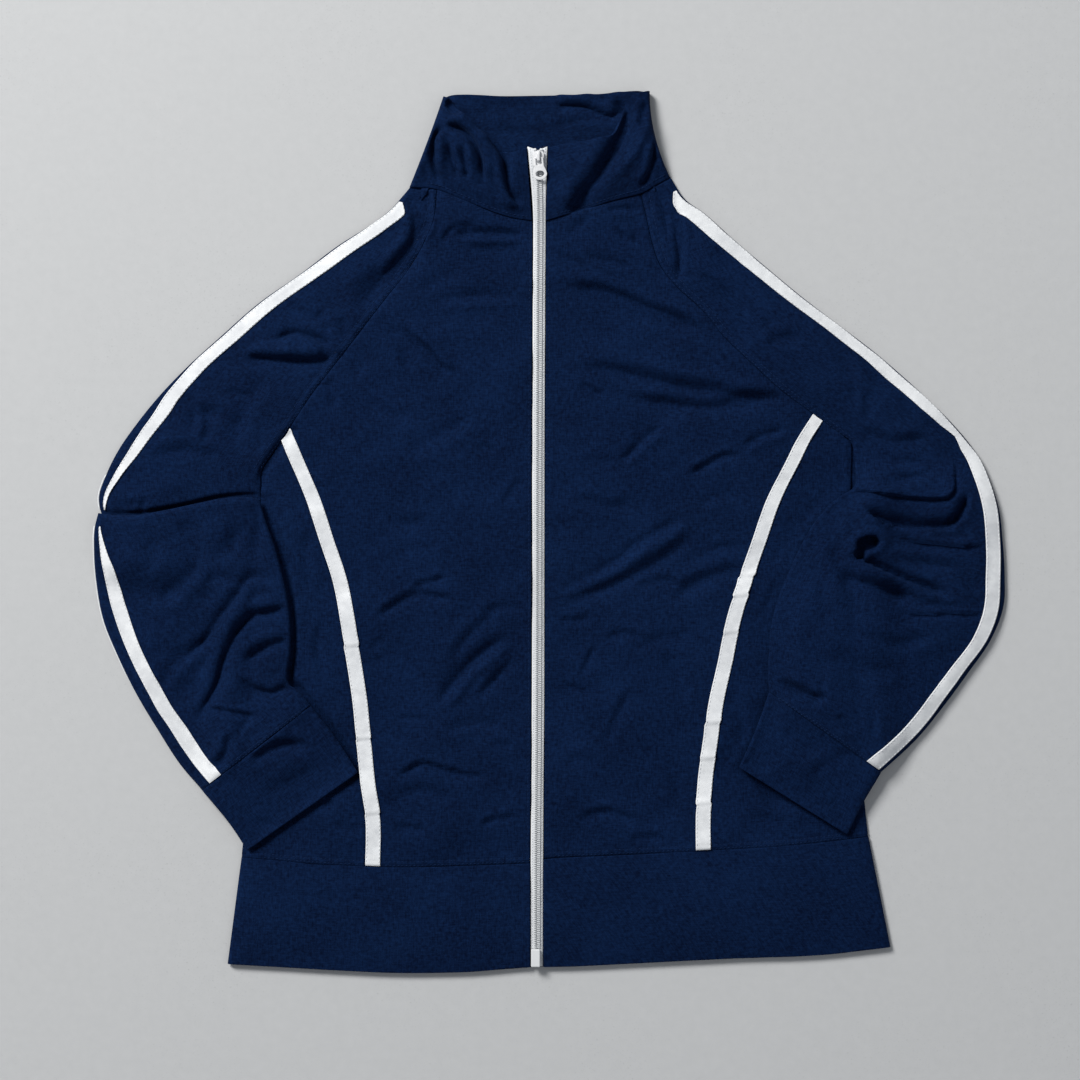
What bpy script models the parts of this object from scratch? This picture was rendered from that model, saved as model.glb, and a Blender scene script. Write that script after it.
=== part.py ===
"""A zip-up track jacket, laid flat with its front up and its forearms folded in over the body.

Plan sizes are in millimetres: X to the right, Y towards the collar, Z up from the surface that the
jacket lies on. Every piece of cloth is a wall between an outer grid of points and an inner one. The
stand-collar, raglan-sleeved jacket is cut as a back, two centre fronts, two side fronts, two sleeves,
two cuffs, a collar and a hem band, with woven tapes on the curved front seams and down both sleeves.
"""
import math
from collections import namedtuple

import bmesh
import bpy
import numpy as np

MM = 0.001

# Cloth and layers
CLOTH = 1.4  # one layer of double-knit cloth
BAND = 2.2  # doubled cloth of the collar, the cuffs and the hem band
TAPE = 0.8  # woven tape
TAPE_WIDTH = 12.0
TAPES_APART = 12.0  # from one sleeve tape to the other, round the overarm fold
SEAM = 0.3  # air between two pieces at a seam
LAY = 1.0  # air between two layers that lie on each other
BACK_TAPE_LIFT = TAPE + SEAM + 0.1  # a sleeve's back stands on its tape

# The front lies a little off the back, and rolls down to it at the free edges
FRONT_LOW = BAND + LAY
FRONT_LOFT = 4.0
FRONT_ROLL = 22.0
FOREARM_LOFT = 5.0
CUFF_LOFT = 3.0
ROUND = 1.2  # how far in from a fold's edge its rounding ends
COLLAR_FOLD = 6.0  # height of the collar's underside at its two folds
RAMP = (45.0, 12.0)  # a sleeve climbs onto the body between these distances from its edge
FOLD_CLEAR = 0.8  # a folded wall's inner side keeps this much more than a wall's thickness from the fold
FOLD_TIP = 0.6  # and its innermost point this much more
FOLD_STEP = 0.4  # least way from a fold's rounding to the next column of points
FOLD_DIP = 0.35  # the top's last point before the overarm fold lies this much lower

# The zip
ZIP_GAP = 10.8  # between the two front edges
ZIP_LAY = 0.1  # air under each of its parts
TAPES_MEET = 0.2  # from the zip's middle to each tape
CHAIN_WIDTH = 5.6
CHAIN_HEIGHT = 1.5
ZIP_TOP = 312.8
ZIP_STEP = 28.0  # longest stretch of the zip between two rows of points
SLIDER_Y = 304.0
SLIDER_LENGTH = 12.4
SLIDER_WIDTH = 9.4
SLIDER_HEIGHT = 2.8
SLIDER_SIDE = [(0.74, -1.0), (1.0, 0.2), (1.0, 0.7), (0.62, 1.0)]  # shares of half its width and length
ARCH_HEIGHT = 3.2
ARCH_WIDTH = 2.4
ARCH_BAR = 1.0
ARCH_REACH = 2.6  # half the length of the arch's top
ARCH_SPLAY = 1.4  # how far out its feet stand
ARCH_SINK = 0.4  # how deep its feet go into the slider
ARCH_LEG = (0.9, 1.2)  # thickness of its legs, at the feet and at the top
PULL_LENGTH = 18.0
PULL_WIDTH = 11.6
PULL_NECK = 7.6
PULL_THICK = 1.1
PULL_ARM = 1.5  # width of the bars beside its window
PULL_WINDOW = 5.8  # length of the pull's window, which the arch passes through
PULL_SHOULDER = 1.0  # from the window to where the pull starts to widen
PULL_HIP = (0.86, 0.55)  # the widening's half width and place, as shares of the pull's own
PULL_ROUND = 5.2  # length of its rounded end
PULL_ROUND_PARTS = 8
PULL_HOLE = (7.0, 5.0)
PULL_HOLE_UP = 5.0  # from the pull's end to the middle of its hole
HINGE_Y = 0.4  # the pull's bar above the slider's middle
PULL_TILT = 2.4  # degrees that the resting pull hangs down from its bar to the chain
BOX_SIZE = (7.4, 14.6, 3.4)
BOX_UP = 0.4  # from the hem's edge
BOX_LEFT = 1.0  # the box's middle, left of the zip's
BOX_ROUND = 0.8
STOP_SIZE = (2.2, 2.0, 1.8)
STOP_OUT = 2.6  # from the zip's middle
STOP_DOWN = 1.2  # from the top of the zip
STOP_ROUND = 0.4

NAVY = (0.010, 0.018, 0.050)
WHITE = (0.62, 0.63, 0.66)

# Sleeves: a row for each section, from the neck to the cuff. outer is on the overarm fold, inner on
# the raglan seam or the underarm fold, margin is from the overarm fold to the front tape, over is 1
# where the sleeve lies on the body, and closed is 1 where its underarm edge is folded shut.
Station = namedtuple("Station", "outer_x outer_y inner_x inner_y margin over closed")
UPPER_LEFT = [
    Station(-116.4, 280.0, -92.7, 278.4, 1.6, 0, 0),
    Station(-129.6, 264.4, -95.1, 256.2, 1.6, 0, 0),
    Station(-147.6, 250.5, -103.3, 236.6, 1.6, 0, 0),
    Station(-172.2, 234.9, -116.4, 214.4, 1.6, 0, 0),
    Station(-205.0, 210.3, -135.3, 189.8, 1.6, 0, 0),
    Station(-237.8, 187.4, -155.8, 162.8, 1.6, 0, 0),
    Station(-270.6, 158.7, -177.9, 134.1, 1.8, 0, 0),
    Station(-297.7, 134.1, -193.5, 114.0, 2.6, 0, 0),
    Station(-319.8, 111.1, -206.5, 95.0, 5.0, 0, 0),
    Station(-337.8, 89.0, -219.8, 74.2, 8.0, 0, 0),
    Station(-354.2, 65.2, -236.2, 48.8, 9.0, 0, 0),
    Station(-363.8, 45.5, -236.8, 36.0, 7.0, 0, 1),
    Station(-369.4, 27.0, -238.4, 20.0, 4.0, 0, 1),
    Station(-366.0, 11.0, -248.0, 3.0, 3.0, 0, 1),
    Station(-350.0, -8.0, -268.0, -16.0, 3.0, 0, 1),
]
TAPE_CORNER_LEFT = 9  # the station where the curved tape meets the raglan seam
ARMPIT_LEFT = 10
FOREARM_LEFT = [
    Station(-369.0, 15.0, -237.0, 25.8, 3.0, 1, 1),
    Station(-371.3, 5.3, -232.9, 11.1, 4.0, 1, 1),
    Station(-372.3, -15.2, -224.7, -11.9, 6.0, 1, 1),
    Station(-371.5, -39.8, -217.3, -39.8, 9.0, 1, 1),
    Station(-365.7, -72.6, -212.4, -68.5, 11.0, 1, 1),
    Station(-354.2, -101.3, -211.6, -95.5, 10.6, 1, 1),
    Station(-339.5, -131.6, -214.0, -115.2, 10.0, 1, 1),
    Station(-321.4, -162.0, -212.8, -124.5, 10.0, 1, 1),
    Station(-301.5, -192.5, -204.0, -131.4, 10.4, 1, 1),
    Station(-284.8, -211.6, -195.2, -142.2, 10.4, 1, 1),
]
SLEEVE_RIGHT = [
    Station(99.5, 288.5, 74.6, 275.9, 1.6, 0, 0),
    Station(110.7, 271.8, 78.7, 257.5, 1.6, 0, 0),
    Station(125.5, 261.2, 82.8, 239.0, 1.6, 0, 0),
    Station(147.6, 241.5, 89.4, 219.0, 1.6, 0, 0),
    Station(176.3, 216.9, 103.3, 200.5, 1.6, 0, 0),
    Station(209.1, 189.8, 124.6, 180.8, 1.6, 0, 0),
    Station(239.4, 166.9, 142.7, 158.7, 1.6, 0, 0),
    Station(267.3, 145.5, 165.6, 136.6, 1.6, 0, 0),
    Station(291.1, 125.0, 190.2, 114.4, 1.6, 0, 0),
    Station(311.6, 106.2, 208.0, 101.4, 1.6, 0, 0),
    Station(328.0, 89.8, 223.0, 90.6, 1.6, 0, 0),
    Station(342.8, 72.6, 236.2, 80.6, 1.6, 0, 0),
    Station(352.6, 58.6, 246.8, 72.6, 1.6, 0, 0),
    Station(360.0, 42.2, 250.0, 52.1, 2.0, 0.5, 1),
    Station(364.9, 28.3, 247.5, 35.5, 2.6, 1, 1),
    Station(367.4, 19.3, 236.2, 28.3, 3.0, 1, 1),
    Station(370.6, -7.0, 217.3, 9.4, 3.6, 1, 1),
    Station(372.3, -35.7, 200.9, -19.3, 5.0, 1, 1),
    Station(371.5, -60.3, 187.8, -49.6, 5.0, 1, 1),
    Station(360.8, -89.0, 180.4, -76.7, 4.4, 1, 1),
    Station(342.8, -115.2, 178.8, -95.5, 4.4, 1, 1),
    Station(322.3, -143.1, 177.9, -108.6, 4.4, 1, 1),
    Station(299.3, -171.0, 177.9, -120.1, 4.4, 1, 1),
    Station(270.6, -196.4, 178.8, -130.8, 4.0, 1, 1),
]
TAPE_CORNER_RIGHT = 10
ARMPIT_RIGHT = 12
TAPES_PART_LEFT = 12  # the last station of the upper arm that carries tape
CUFF_LEFT = [
    Station(-284.2, -212.6, -194.6, -143.2, 0, 1, 1),
    Station(-263.2, -236.6, -174.7, -168.5, 0, 1, 1),
    Station(-247.6, -260.3, -156.8, -196.4, 0, 1, 1),
]
CUFF_RIGHT = [
    Station(270.0, -197.6, 178.2, -132.0, 0, 1, 1),
    Station(255.8, -221.8, 167.3, -162.8, 0, 1, 1),
    Station(242.7, -247.2, 154.2, -192.3, 0, 1, 1),
]

# Curves of the body, as points of x and y
BODY_TAPE_LEFT = [(-213.2, 58.6), (-199.3, 25.8), (-188.6, -7.0), (-177.9, -39.8), (-171.4, -72.6),
                  (-166.5, -105.4), (-161.5, -138.2), (-158.3, -171.0), (-155.0, -203.8),
                  (-150.9, -232.5), (-150.9, -273.2)]
BODY_TAPE_RIGHT = [(213.2, 75.0), (205.0, 58.6), (188.6, 25.8), (177.1, -7.0), (165.6, -39.8),
                   (155.8, -72.6), (149.2, -105.4), (141.9, -138.2), (136.9, -171.0),
                   (132.8, -203.8), (131.2, -232.5), (131.2, -260.6)]
# The height on the zip that each row of a centre front runs to, from its raglan seam and its tape
ZIP_ROWS_LEFT = [254, 232, 210, 188, 166, 144, 122, 101, 82, 64,
                 48, 20, -9, -40, -72, -105, -138, -171, -204, -234, -271]
ZIP_ROWS_RIGHT = [254, 236, 218, 200, 180, 160, 140, 120, 101, 86, 74,
                  60, 44, 14, -13, -43, -74, -106, -138, -171, -204, -232, -267]
SIDE_LEFT = [(-236.2, 48.8), (-236.8, 36.0), (-238.4, 20.0), (-240.0, -10.0), (-243.0, -100.0),
             (-248.0, -200.0), (-252.6, -266.1)]
SIDE_RIGHT = [(246.8, 72.6), (246.0, 34.0), (247.0, -60.0), (252.0, -160.0), (260.8, -249.7)]
HEM_SEAM = [(-252.6, -266.1), (-205.0, -270.2), (-123.0, -274.3), (-57.4, -272.6), (-15.6, -271.0),
            (-3.3, -266.9), (73.8, -263.6), (114.8, -261.2), (188.6, -257.1), (260.8, -249.7)]
HEM_SEAM_BACK = [(-252.6, -266.1), (-205.0, -270.2), (-123.0, -274.3), (-57.4, -273.2), (-10.0, -270.6),
                 (73.8, -265.6), (114.8, -262.4), (188.6, -257.1), (260.8, -249.7)]
HEM_EDGE = [(-264.0, -353.8), (-205.0, -357.1), (-123.0, -361.0), (-57.4, -359.6), (-16.4, -356.2),
            (-3.3, -356.2), (73.8, -353.0), (155.8, -348.9), (221.4, -346.4), (278.8, -339.9)]
HEM_LINES_LEFT = (-57.4, -90.0, -123.0, -164.0, -205.0, -230.0)
HEM_LINES_RIGHT = (238.0, 212.0, 188.6, 150.0, 114.8, 73.8, 35.0)
HEM_ROWS = (0.0, 0.33, 0.67, 1.0)
NECK_LEFT = [(-92.7, 279.2), (-73.8, 271.8), (-59.9, 266.1), (-45.1, 260.3), (-31.2, 256.2),
             (-14.8, 253.8)]
NECK_RIGHT = [(-3.3, 253.8), (16.4, 259.5), (36.9, 265.3), (49.2, 269.4), (61.5, 272.6),
              (74.6, 276.0)]
NECK_BACK = [(-92.7, 279.2), (-50.0, 284.5), (0.0, 286.0), (50.0, 284.5), (74.6, 276.3)]
ZIP_LINE = [(-10.8, -356.0), (-10.8, -302.0), (-9.8, -138.0), (-9.4, 91.0), (-9.0, 190.0),
            (-8.8, 272.0), (-9.8, 313.0)]
UNDERARM_LEFT = [(-238.4, 20.0), (-248.0, 3.0), (-268.0, -16.0)]

# The collar: a row for each of its lines from the neck seam to the free edge. bow moves the middle
# of the line to the right, and rise is the height of the cloth's underside at the free edge.
CollarLine = namedtuple("CollarLine", "seam_x seam_y edge_x edge_y bow rise")
COLLAR_FRONT_LEFT = [
    CollarLine(-14.8, 253.8, -18.9, 312.8, 0, 8.5),
    CollarLine(-31.2, 256.2, -38.5, 309.5, 0, 9.0),
    CollarLine(-45.1, 260.3, -54.1, 323.5, 0, 9.5),
    CollarLine(-59.9, 266.1, -66.2, 335.6, 0, 9.5),
    CollarLine(-76.0, 272.7, -75.4, 344.0, 0, 9.0),
    CollarLine(-92.7, 279.2, -81.0, 350.5, 0, 8.0),
]
COLLAR_FOLD_LEFT = CollarLine(-115.2, 281.4, -87.4, 355.6, 1, COLLAR_FOLD)
COLLAR_BACK = [
    CollarLine(-90.0, 279.6, -72.0, 356.8, 0, 0),
    CollarLine(-50.0, 284.5, -41.0, 355.7, 0, 0),
    CollarLine(0.0, 286.0, 0.0, 356.0, 0, 0),
    CollarLine(50.0, 284.5, 41.0, 357.3, 0, 0),
    CollarLine(73.0, 277.4, 66.0, 359.6, 0, 0),
]
COLLAR_FOLD_RIGHT = CollarLine(98.4, 289.4, 81.6, 359.8, -4.5, COLLAR_FOLD + 2.0)
COLLAR_FRONT_RIGHT = [
    CollarLine(86.4, 282.6, 68.9, 356.0, -3, 10.0),
    CollarLine(74.6, 276.0, 60.7, 347.4, 0, 6.0),
    CollarLine(61.5, 272.6, 55.8, 336.6, 0, 5.0),
    CollarLine(49.2, 269.4, 50.0, 325.9, 0, 8.0),
    CollarLine(34.0, 264.6, 34.4, 319.4, 0, 11.0),
    CollarLine(16.4, 259.5, 16.4, 316.9, 0, 10.5),
    CollarLine(-3.3, 253.8, -1.6, 312.8, 0, 8.5),
]
COLLAR_ROWS = (0.0, 0.2, 0.42, 0.64, 0.84, 1.0)

# The largest creases: a line, how far it reaches to each side, and how high it stands.
Crease = namedtuple("Crease", "x0 y0 x1 y1 reach height")
BODY_CREASES = [
    Crease(-111.0, 272.0, -113.0, 232.0, 9.0, -2.6),  # left shoulder
    Crease(-113.0, 232.0, -135.0, 200.0, 12.0, -2.0),
    Crease(104.0, 262.0, 108.0, 205.0, 8.0, -2.0),  # right shoulder
    Crease(28.0, 198.0, 120.0, 172.0, 12.0, -1.8),  # right chest
    Crease(249.0, 70.0, 250.0, 40.0, 8.0, -2.6),  # between right sleeve and body
]
ELBOW_CREASES = [
    Crease(262.0, 36.0, 322.0, 30.0, 16.0, 4.5),  # the flap over the right elbow
    Crease(258.0, 12.0, 334.0, 8.0, 8.0, -5.0),  # the pocket under it
    Crease(250.0, -10.0, 268.0, -20.0, 9.0, -4.0),
    Crease(246.0, -28.0, 318.0, -48.0, 8.0, 3.0),
    Crease(252.0, -44.0, 292.0, -52.0, 8.0, -3.0),
]
FOREARM_CREASES = [
    Crease(-241.0, -40.0, -274.0, -72.0, 10.0, -2.5),
    Crease(-232.0, -68.0, -282.0, -140.0, 9.0, -2.5),
]
COLLAR_CREASES = [
    Crease(16.0, 256.0, 44.0, 306.0, 9.0, -4.0),  # the deep valley on the right
    Crease(44.0, 306.0, 62.0, 352.0, 10.0, -4.0),
    Crease(-37.0, 309.0, -33.0, 276.0, 6.0, -3.0),
    Crease(-92.0, 316.0, -88.0, 292.0, 7.0, -3.5),
]


def distance(points, line):
    """Shortest distance from each point to a line of straight stretches."""
    line = np.asarray(line, float)
    start, step = line[:-1], np.diff(line, axis=0)
    away = points[..., None, :] - start
    along = np.clip((away * step).sum(-1) / (step * step).sum(-1), 0, 1)
    return np.linalg.norm(away - along[..., None] * step, axis=-1).min(-1)


def inside(points, ring):
    """Whether each point is inside a closed ring, by counting the sides that it has to its right."""
    ring = np.asarray(ring, float)
    x, y = points[..., 0, None], points[..., 1, None]
    x0, y0 = ring.T
    x1, y1 = np.roll(ring, -1, axis=0).T
    rise = np.where(y1 == y0, 1.0, y1 - y0)
    crossed = ((y0 > y) != (y1 > y)) & (x < x0 + (y - y0) * (x1 - x0) / rise)
    return crossed.sum(-1) % 2 == 1


def height_at(table, x):
    """The y of a table of points in order of x."""
    return np.interp(x, [point[0] for point in table], [point[1] for point in table])


def side_at(table, y):
    """The x of a table of points in falling order of y."""
    return np.interp(y, [point[1] for point in table[::-1]], [point[0] for point in table[::-1]])


def zip_at(y):
    """The x of the middle of the zip."""
    return np.interp(y, [point[1] for point in ZIP_LINE], [point[0] for point in ZIP_LINE])


def outers(stations):
    return [(s.outer_x, s.outer_y) for s in stations]


def inners(stations):
    return [(s.inner_x, s.inner_y) for s in stations]


def smoothstep(value, low, high):
    t = np.clip((value - low) / (high - low), 0, 1)
    return t * t * (3 - 2 * t)


FREE_EDGES = [outers(UPPER_LEFT), outers(SLEEVE_RIGHT), SIDE_LEFT, SIDE_RIGHT, UNDERARM_LEFT,
              HEM_EDGE, [SIDE_LEFT[-1], HEM_EDGE[0]], [SIDE_RIGHT[-1], HEM_EDGE[-1]]]
BODY_RING = ([(x, y) for x, y in SIDE_LEFT] + HEM_EDGE + SIDE_RIGHT[::-1]
             + inners(SLEEVE_RIGHT[:ARMPIT_RIGHT])[::-1] + inners(UPPER_LEFT[:ARMPIT_LEFT]))
ARM_RING = outers(UPPER_LEFT) + inners(UPPER_LEFT)[::-1]


def creased(points, creases):
    """What the creases add to the height of a cloth."""
    total = np.zeros(points.shape[:-1])
    for crease in creases:
        line = [(crease.x0, crease.y0), (crease.x1, crease.y1)]
        total += crease.height * np.exp(-(distance(points, line) / crease.reach) ** 2)
    return total


def under_front(points):
    """Height of the underside of the cloth that lies on top."""
    away = np.min([distance(points, edge) for edge in FREE_EDGES], axis=0)
    lofted = FRONT_LOW + FRONT_LOFT * (1 - np.exp(-away / FRONT_ROLL))
    return np.maximum(lofted + creased(points, BODY_CREASES), FRONT_LOW)


def lying_on(points, rings):
    """Height of the underside of a sleeve that lies partly on other cloth."""
    within = np.full(points.shape[:-1], -1e3)
    for ring in rings:
        gap = distance(points, list(ring) + [ring[0]])
        within = np.maximum(within, np.where(inside(points, ring), gap, -gap))
    return (under_front(points) + CLOTH + LAY) * smoothstep(within, -RAMP[0], -RAMP[1])


# ---------------------------------------------------------------- solids

def material(name, color, roughness, metallic=0.0):
    made = bpy.data.materials.new(name)
    made.use_nodes = True
    shader = made.node_tree.nodes["Principled BSDF"]
    shader.inputs["Base Color"].default_value = (*color, 1.0)
    shader.inputs["Roughness"].default_value = roughness
    shader.inputs["Metallic"].default_value = metallic
    made.diffuse_color = (*color, 1.0)
    return made


def place(name, mesh, finish):
    """An object for the mesh, with the finish on all its faces."""
    thing = bpy.data.objects.new(name, mesh)
    mesh.materials.append(finish)
    bpy.context.scene.collection.objects.link(thing)
    return thing


def solid_mesh(name, points, faces):
    """A closed mesh in metres, its faces turned out, with sharp turns kept sharp."""
    mesh = bpy.data.meshes.new(name)
    mesh.from_pydata([tuple(float(v) * MM for v in point) for point in points], [], faces)
    shape = bmesh.new()
    shape.from_mesh(mesh)
    bmesh.ops.recalc_face_normals(shape, faces=shape.faces)
    shape.to_mesh(mesh)
    shape.free()
    mesh.shade_smooth()
    mesh.set_sharp_from_angle(angle=math.radians(50))
    return mesh


def wall(name, outer, inner, finish):
    """A wall of cloth between two grids of points, rows by columns, closed along its four edges."""
    rows, columns = outer.shape[:2]
    points = np.concatenate([outer.reshape(-1, 3), inner.reshape(-1, 3)])
    back = rows * columns

    def at(row, column):
        return row * columns + column

    faces = []
    for r in range(rows - 1):
        for c in range(columns - 1):
            a, b, d, e = at(r, c), at(r, c + 1), at(r + 1, c + 1), at(r + 1, c)
            faces += [(a, b, d), (a, d, e)]
            faces += [(back + a, back + d, back + b), (back + a, back + e, back + d)]
    rim = [at(0, c) for c in range(columns)]
    rim += [at(r, columns - 1) for r in range(1, rows)]
    rim += [at(rows - 1, c) for c in range(columns - 2, -1, -1)]
    rim += [at(r, 0) for r in range(rows - 2, 0, -1)]
    for a, b in zip(rim, rim[1:] + rim[:1]):
        faces += [(a, back + a, back + b), (a, back + b, b)]
    return place(name, solid_mesh(name, points, faces), finish)


def lifted(plan, heights):
    """Plan points with their heights, as one grid."""
    return np.concatenate([plan, heights[..., None]], axis=-1)


def pull_in(plan, amount):
    """The plan with its four edges moved in, along its own rows and columns."""
    moved = plan.copy()
    for this, near in ((0, 1), (-1, -2)):
        step = plan[near] - plan[this]
        moved[this] += step / np.linalg.norm(step, axis=-1, keepdims=True) * amount
        step = plan[:, near] - plan[:, this]
        moved[:, this] += step / np.linalg.norm(step, axis=-1, keepdims=True) * amount
    return moved


def tape_over(name, outer, rows, columns, finish, down=False):
    """A woven tape on a wall's outer points, moved out from them."""
    side = -1.0 if down else 1.0
    base = outer[rows[0]:rows[1] + 1, columns[0]:columns[1] + 1].copy()
    near, far = base.copy(), base.copy()
    near[..., 2] += side * SEAM
    far[..., 2] += side * (SEAM + TAPE)
    return wall(name, far, near, finish)


# ---------------------------------------------------------------- sleeves and cuffs

TOP_PARTS = 7  # columns from the underarm edge to the front tape
BOTTOM_PARTS = 5  # columns from the back tape to the underarm edge
FRONT_TAPE = (TOP_PARTS + 1, TOP_PARTS + 2)
BACK_TAPE = (TOP_PARTS + 6, TOP_PARTS + 7)


def tube_columns(span, margin):
    """Distances from the overarm fold of a sleeve's columns: over the top, the fold, and under."""
    tape_in = margin + TAPE_WIDTH
    back_out = max(ROUND + FOLD_STEP, TAPES_APART - margin)
    back_in = back_out + TAPE_WIDTH
    shares = [1 - part / TOP_PARTS for part in range(1, TOP_PARTS)]
    top = [span, span - ROUND] + [tape_in + (span - tape_in) * share for share in shares]
    top += [tape_in, margin, ROUND]
    under = [ROUND, back_out, back_in]
    under += [back_in + (span - back_in) * part / BOTTOM_PARTS for part in range(1, BOTTOM_PARTS)]
    under += [span - ROUND, span]
    return np.array(top), np.array(under)


def tube_section(station, bottom, top, thick):
    """Outer and inner points of one section: over the top, round the overarm fold, and under."""
    fold = np.array([station.outer_x, station.outer_y])
    across = np.array([station.inner_x, station.inner_y]) - fold
    span = np.linalg.norm(across)
    across = across / span
    reach = span - SEAM / 2
    over, under = tube_columns(reach, max(station.margin, ROUND + FOLD_STEP))
    shut = station.closed
    lift = np.zeros(len(under))
    if station.margin:
        lift[:3] = BACK_TAPE_LIFT

    def plan(away):
        return fold + np.asarray(away)[:, None] * across

    def inset(away):
        """The inner side's distances, kept a wall's thickness in from both folds."""
        kept = np.maximum(away, thick + FOLD_CLEAR)
        ends = [reach - shut * thick, reach - ROUND - shut * (thick + FOLD_TIP - ROUND)]
        kept = np.minimum(kept, reach - ROUND - shut * (thick + FOLD_CLEAR - ROUND))
        kept[-1] = thick + FOLD_TIP
        kept[0], kept[1] = ends
        return kept

    over_in = inset(over)
    under_in = inset(under[::-1])[::-1]
    q_out, q_in = over / span, over_in / span
    top_out = top(plan(over), q_out, station) + thick
    top_in = top(plan(over_in), q_in, station)
    low_out = bottom(plan(under), station) + lift
    low_in = bottom(plan(under_in), station) + lift + thick
    middle = (top_out[-1] + low_out[0]) / 2
    shutting = (top_out[0] + low_out[-1]) / 2
    top_out[-1] -= FOLD_DIP
    for heights, toward in ((top_out, 0.5), (top_in, 0.5), (low_out, -0.5), (low_in, -0.5)):
        at = 0 if toward > 0 else -1
        heights[at] += shut * (shutting + toward * SEAM - heights[at])
    outer = np.concatenate([lifted(plan(over), top_out), [[*fold, middle]],
                            lifted(plan(under), low_out)])
    fold_in = plan([thick])[0]
    inner = np.concatenate([lifted(plan(over_in), top_in), [[*fold_in, middle]],
                            lifted(plan(under_in), low_in)])
    return outer, inner


def tube(stations, bottom, top, thick):
    sections = [tube_section(station, bottom, top, thick) for station in stations]
    return np.array([s[0] for s in sections]), np.array([s[1] for s in sections])


def trim_ends(grids, amount, first=True, last=True):
    """Both grids with their first and last rows moved in, for the seams there."""
    for grid in grids:
        plan = grid[..., :2]
        if first:
            step = plan[1] - plan[0]
            plan[0] += step / np.linalg.norm(step, axis=-1, keepdims=True) * amount
        if last:
            step = plan[-2] - plan[-1]
            plan[-1] += step / np.linalg.norm(step, axis=-1, keepdims=True) * amount
    return grids


def sleeve_heights(rings, loft, thick, creases=()):
    """The two heights of a sleeve: of its back, and of its front's underside."""
    def bottom(points, station):
        return station.over * lying_on(points, rings)

    def top(points, share, station):
        free = under_front(points)
        full = loft * (1 - np.abs(2 * share - 1) ** 4)
        rest = bottom(points, station) + thick + LAY + BACK_TAPE_LIFT + full
        rest = np.maximum(rest + creased(points, creases), rest - full)
        return (1 - station.over) * free + station.over * rest

    return bottom, top


def fold_end(outer, inner, thick):
    """Grids with their first row folded shut, for a sleeve that is turned back on itself."""
    def row_in(grid, away):
        step = grid[1, :, :2] - grid[0, :, :2]
        moved = grid[0].copy()
        moved[:, :2] += step / np.linalg.norm(step, axis=-1, keepdims=True) * away
        return moved

    half = TOP_PARTS + 4
    outer_edge, outer_round = row_in(outer, 0.0), row_in(outer, ROUND)
    inner_edge, inner_round = row_in(inner, thick), row_in(inner, thick + FOLD_TIP)
    middle = outer_edge[half, 2]
    tops = np.arange(outer.shape[1]) < half
    for edge in (outer_edge, inner_edge):
        edge[:, 2] = middle + np.where(tops, SEAM / 2, -SEAM / 2)
        edge[half, 2] = middle
    return (np.concatenate([[outer_edge, outer_round], outer[1:]]),
            np.concatenate([[inner_edge, inner_round], inner[1:]]))


def sleeves(navy, white):
    """Both sleeves, with the tapes down them."""
    on_body = sleeve_heights([BODY_RING], FOREARM_LOFT, CLOTH, ELBOW_CREASES)
    on_arm = sleeve_heights([BODY_RING, ARM_RING], FOREARM_LOFT, CLOTH, FOREARM_CREASES)

    upper = tube(UPPER_LEFT, *on_body, CLOTH)
    trim_ends(upper, SEAM, last=False)
    wall("sleeve_left_upper", *upper, navy)
    rows = (0, TAPES_PART_LEFT)
    tape_over("tape_front_upper_left", upper[0], rows, FRONT_TAPE, white)
    tape_over("tape_back_upper_left", upper[0], rows, BACK_TAPE, white, down=True)

    lower = fold_end(*tube(FOREARM_LEFT, *on_arm, CLOTH), CLOTH)
    trim_ends(lower, SEAM, first=False)
    wall("sleeve_left_forearm", *lower, navy)
    rows = (1, len(lower[0]) - 1)
    tape_over("tape_front_forearm_left", lower[0], rows, FRONT_TAPE, white)
    tape_over("tape_back_forearm_left", lower[0], rows, BACK_TAPE, white, down=True)

    whole = tube(SLEEVE_RIGHT, *on_body, CLOTH)
    trim_ends(whole, SEAM)
    wall("sleeve_right", *whole, navy)
    rows = (0, len(SLEEVE_RIGHT) - 1)
    tape_over("tape_front_right", whole[0], rows, FRONT_TAPE, white)
    tape_over("tape_back_right", whole[0], rows, BACK_TAPE, white, down=True)


def cuffs(navy):
    """The doubled cuffs, flat tubes that lie on the body's sides."""
    heights = sleeve_heights([BODY_RING], CUFF_LOFT, BAND)
    for name, stations in (("cuff_left", CUFF_LEFT), ("cuff_right", CUFF_RIGHT)):
        wall(name, *trim_ends(tube(stations, *heights, BAND), SEAM, last=False), navy)


# ---------------------------------------------------------------- body

CENTRE_PARTS = 7
SIDE_PARTS = 6


def front_centre(name, edge, zip_rows, neck, navy):
    """A centre front, from its curved outer edge to the zip; returns its outer points."""
    edge = np.array(edge)
    zip_y = np.array(zip_rows)
    side = 1 if edge[0, 0] > 0 else -1
    zip_x = zip_at(zip_y) + side * ZIP_GAP / 2
    to = np.stack([zip_x, zip_y], axis=-1)
    step = to - edge
    span = np.linalg.norm(step, axis=-1, keepdims=True)
    columns = [edge, edge + step / span * TAPE_WIDTH]
    columns += [columns[1] + (to - columns[1]) * part / CENTRE_PARTS
                for part in range(1, CENTRE_PARTS + 1)]
    plan = np.stack(columns, axis=1)
    plan[0, :, 1] = height_at(neck, plan[0, :, 0])
    plan[-1, :, 1] = height_at(HEM_SEAM, plan[-1, :, 0])
    plan = pull_in(plan, SEAM / 2)
    under = under_front(plan)
    outer = lifted(plan, under + CLOTH)
    wall(name, outer, lifted(plan, under), navy)
    return outer


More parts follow.
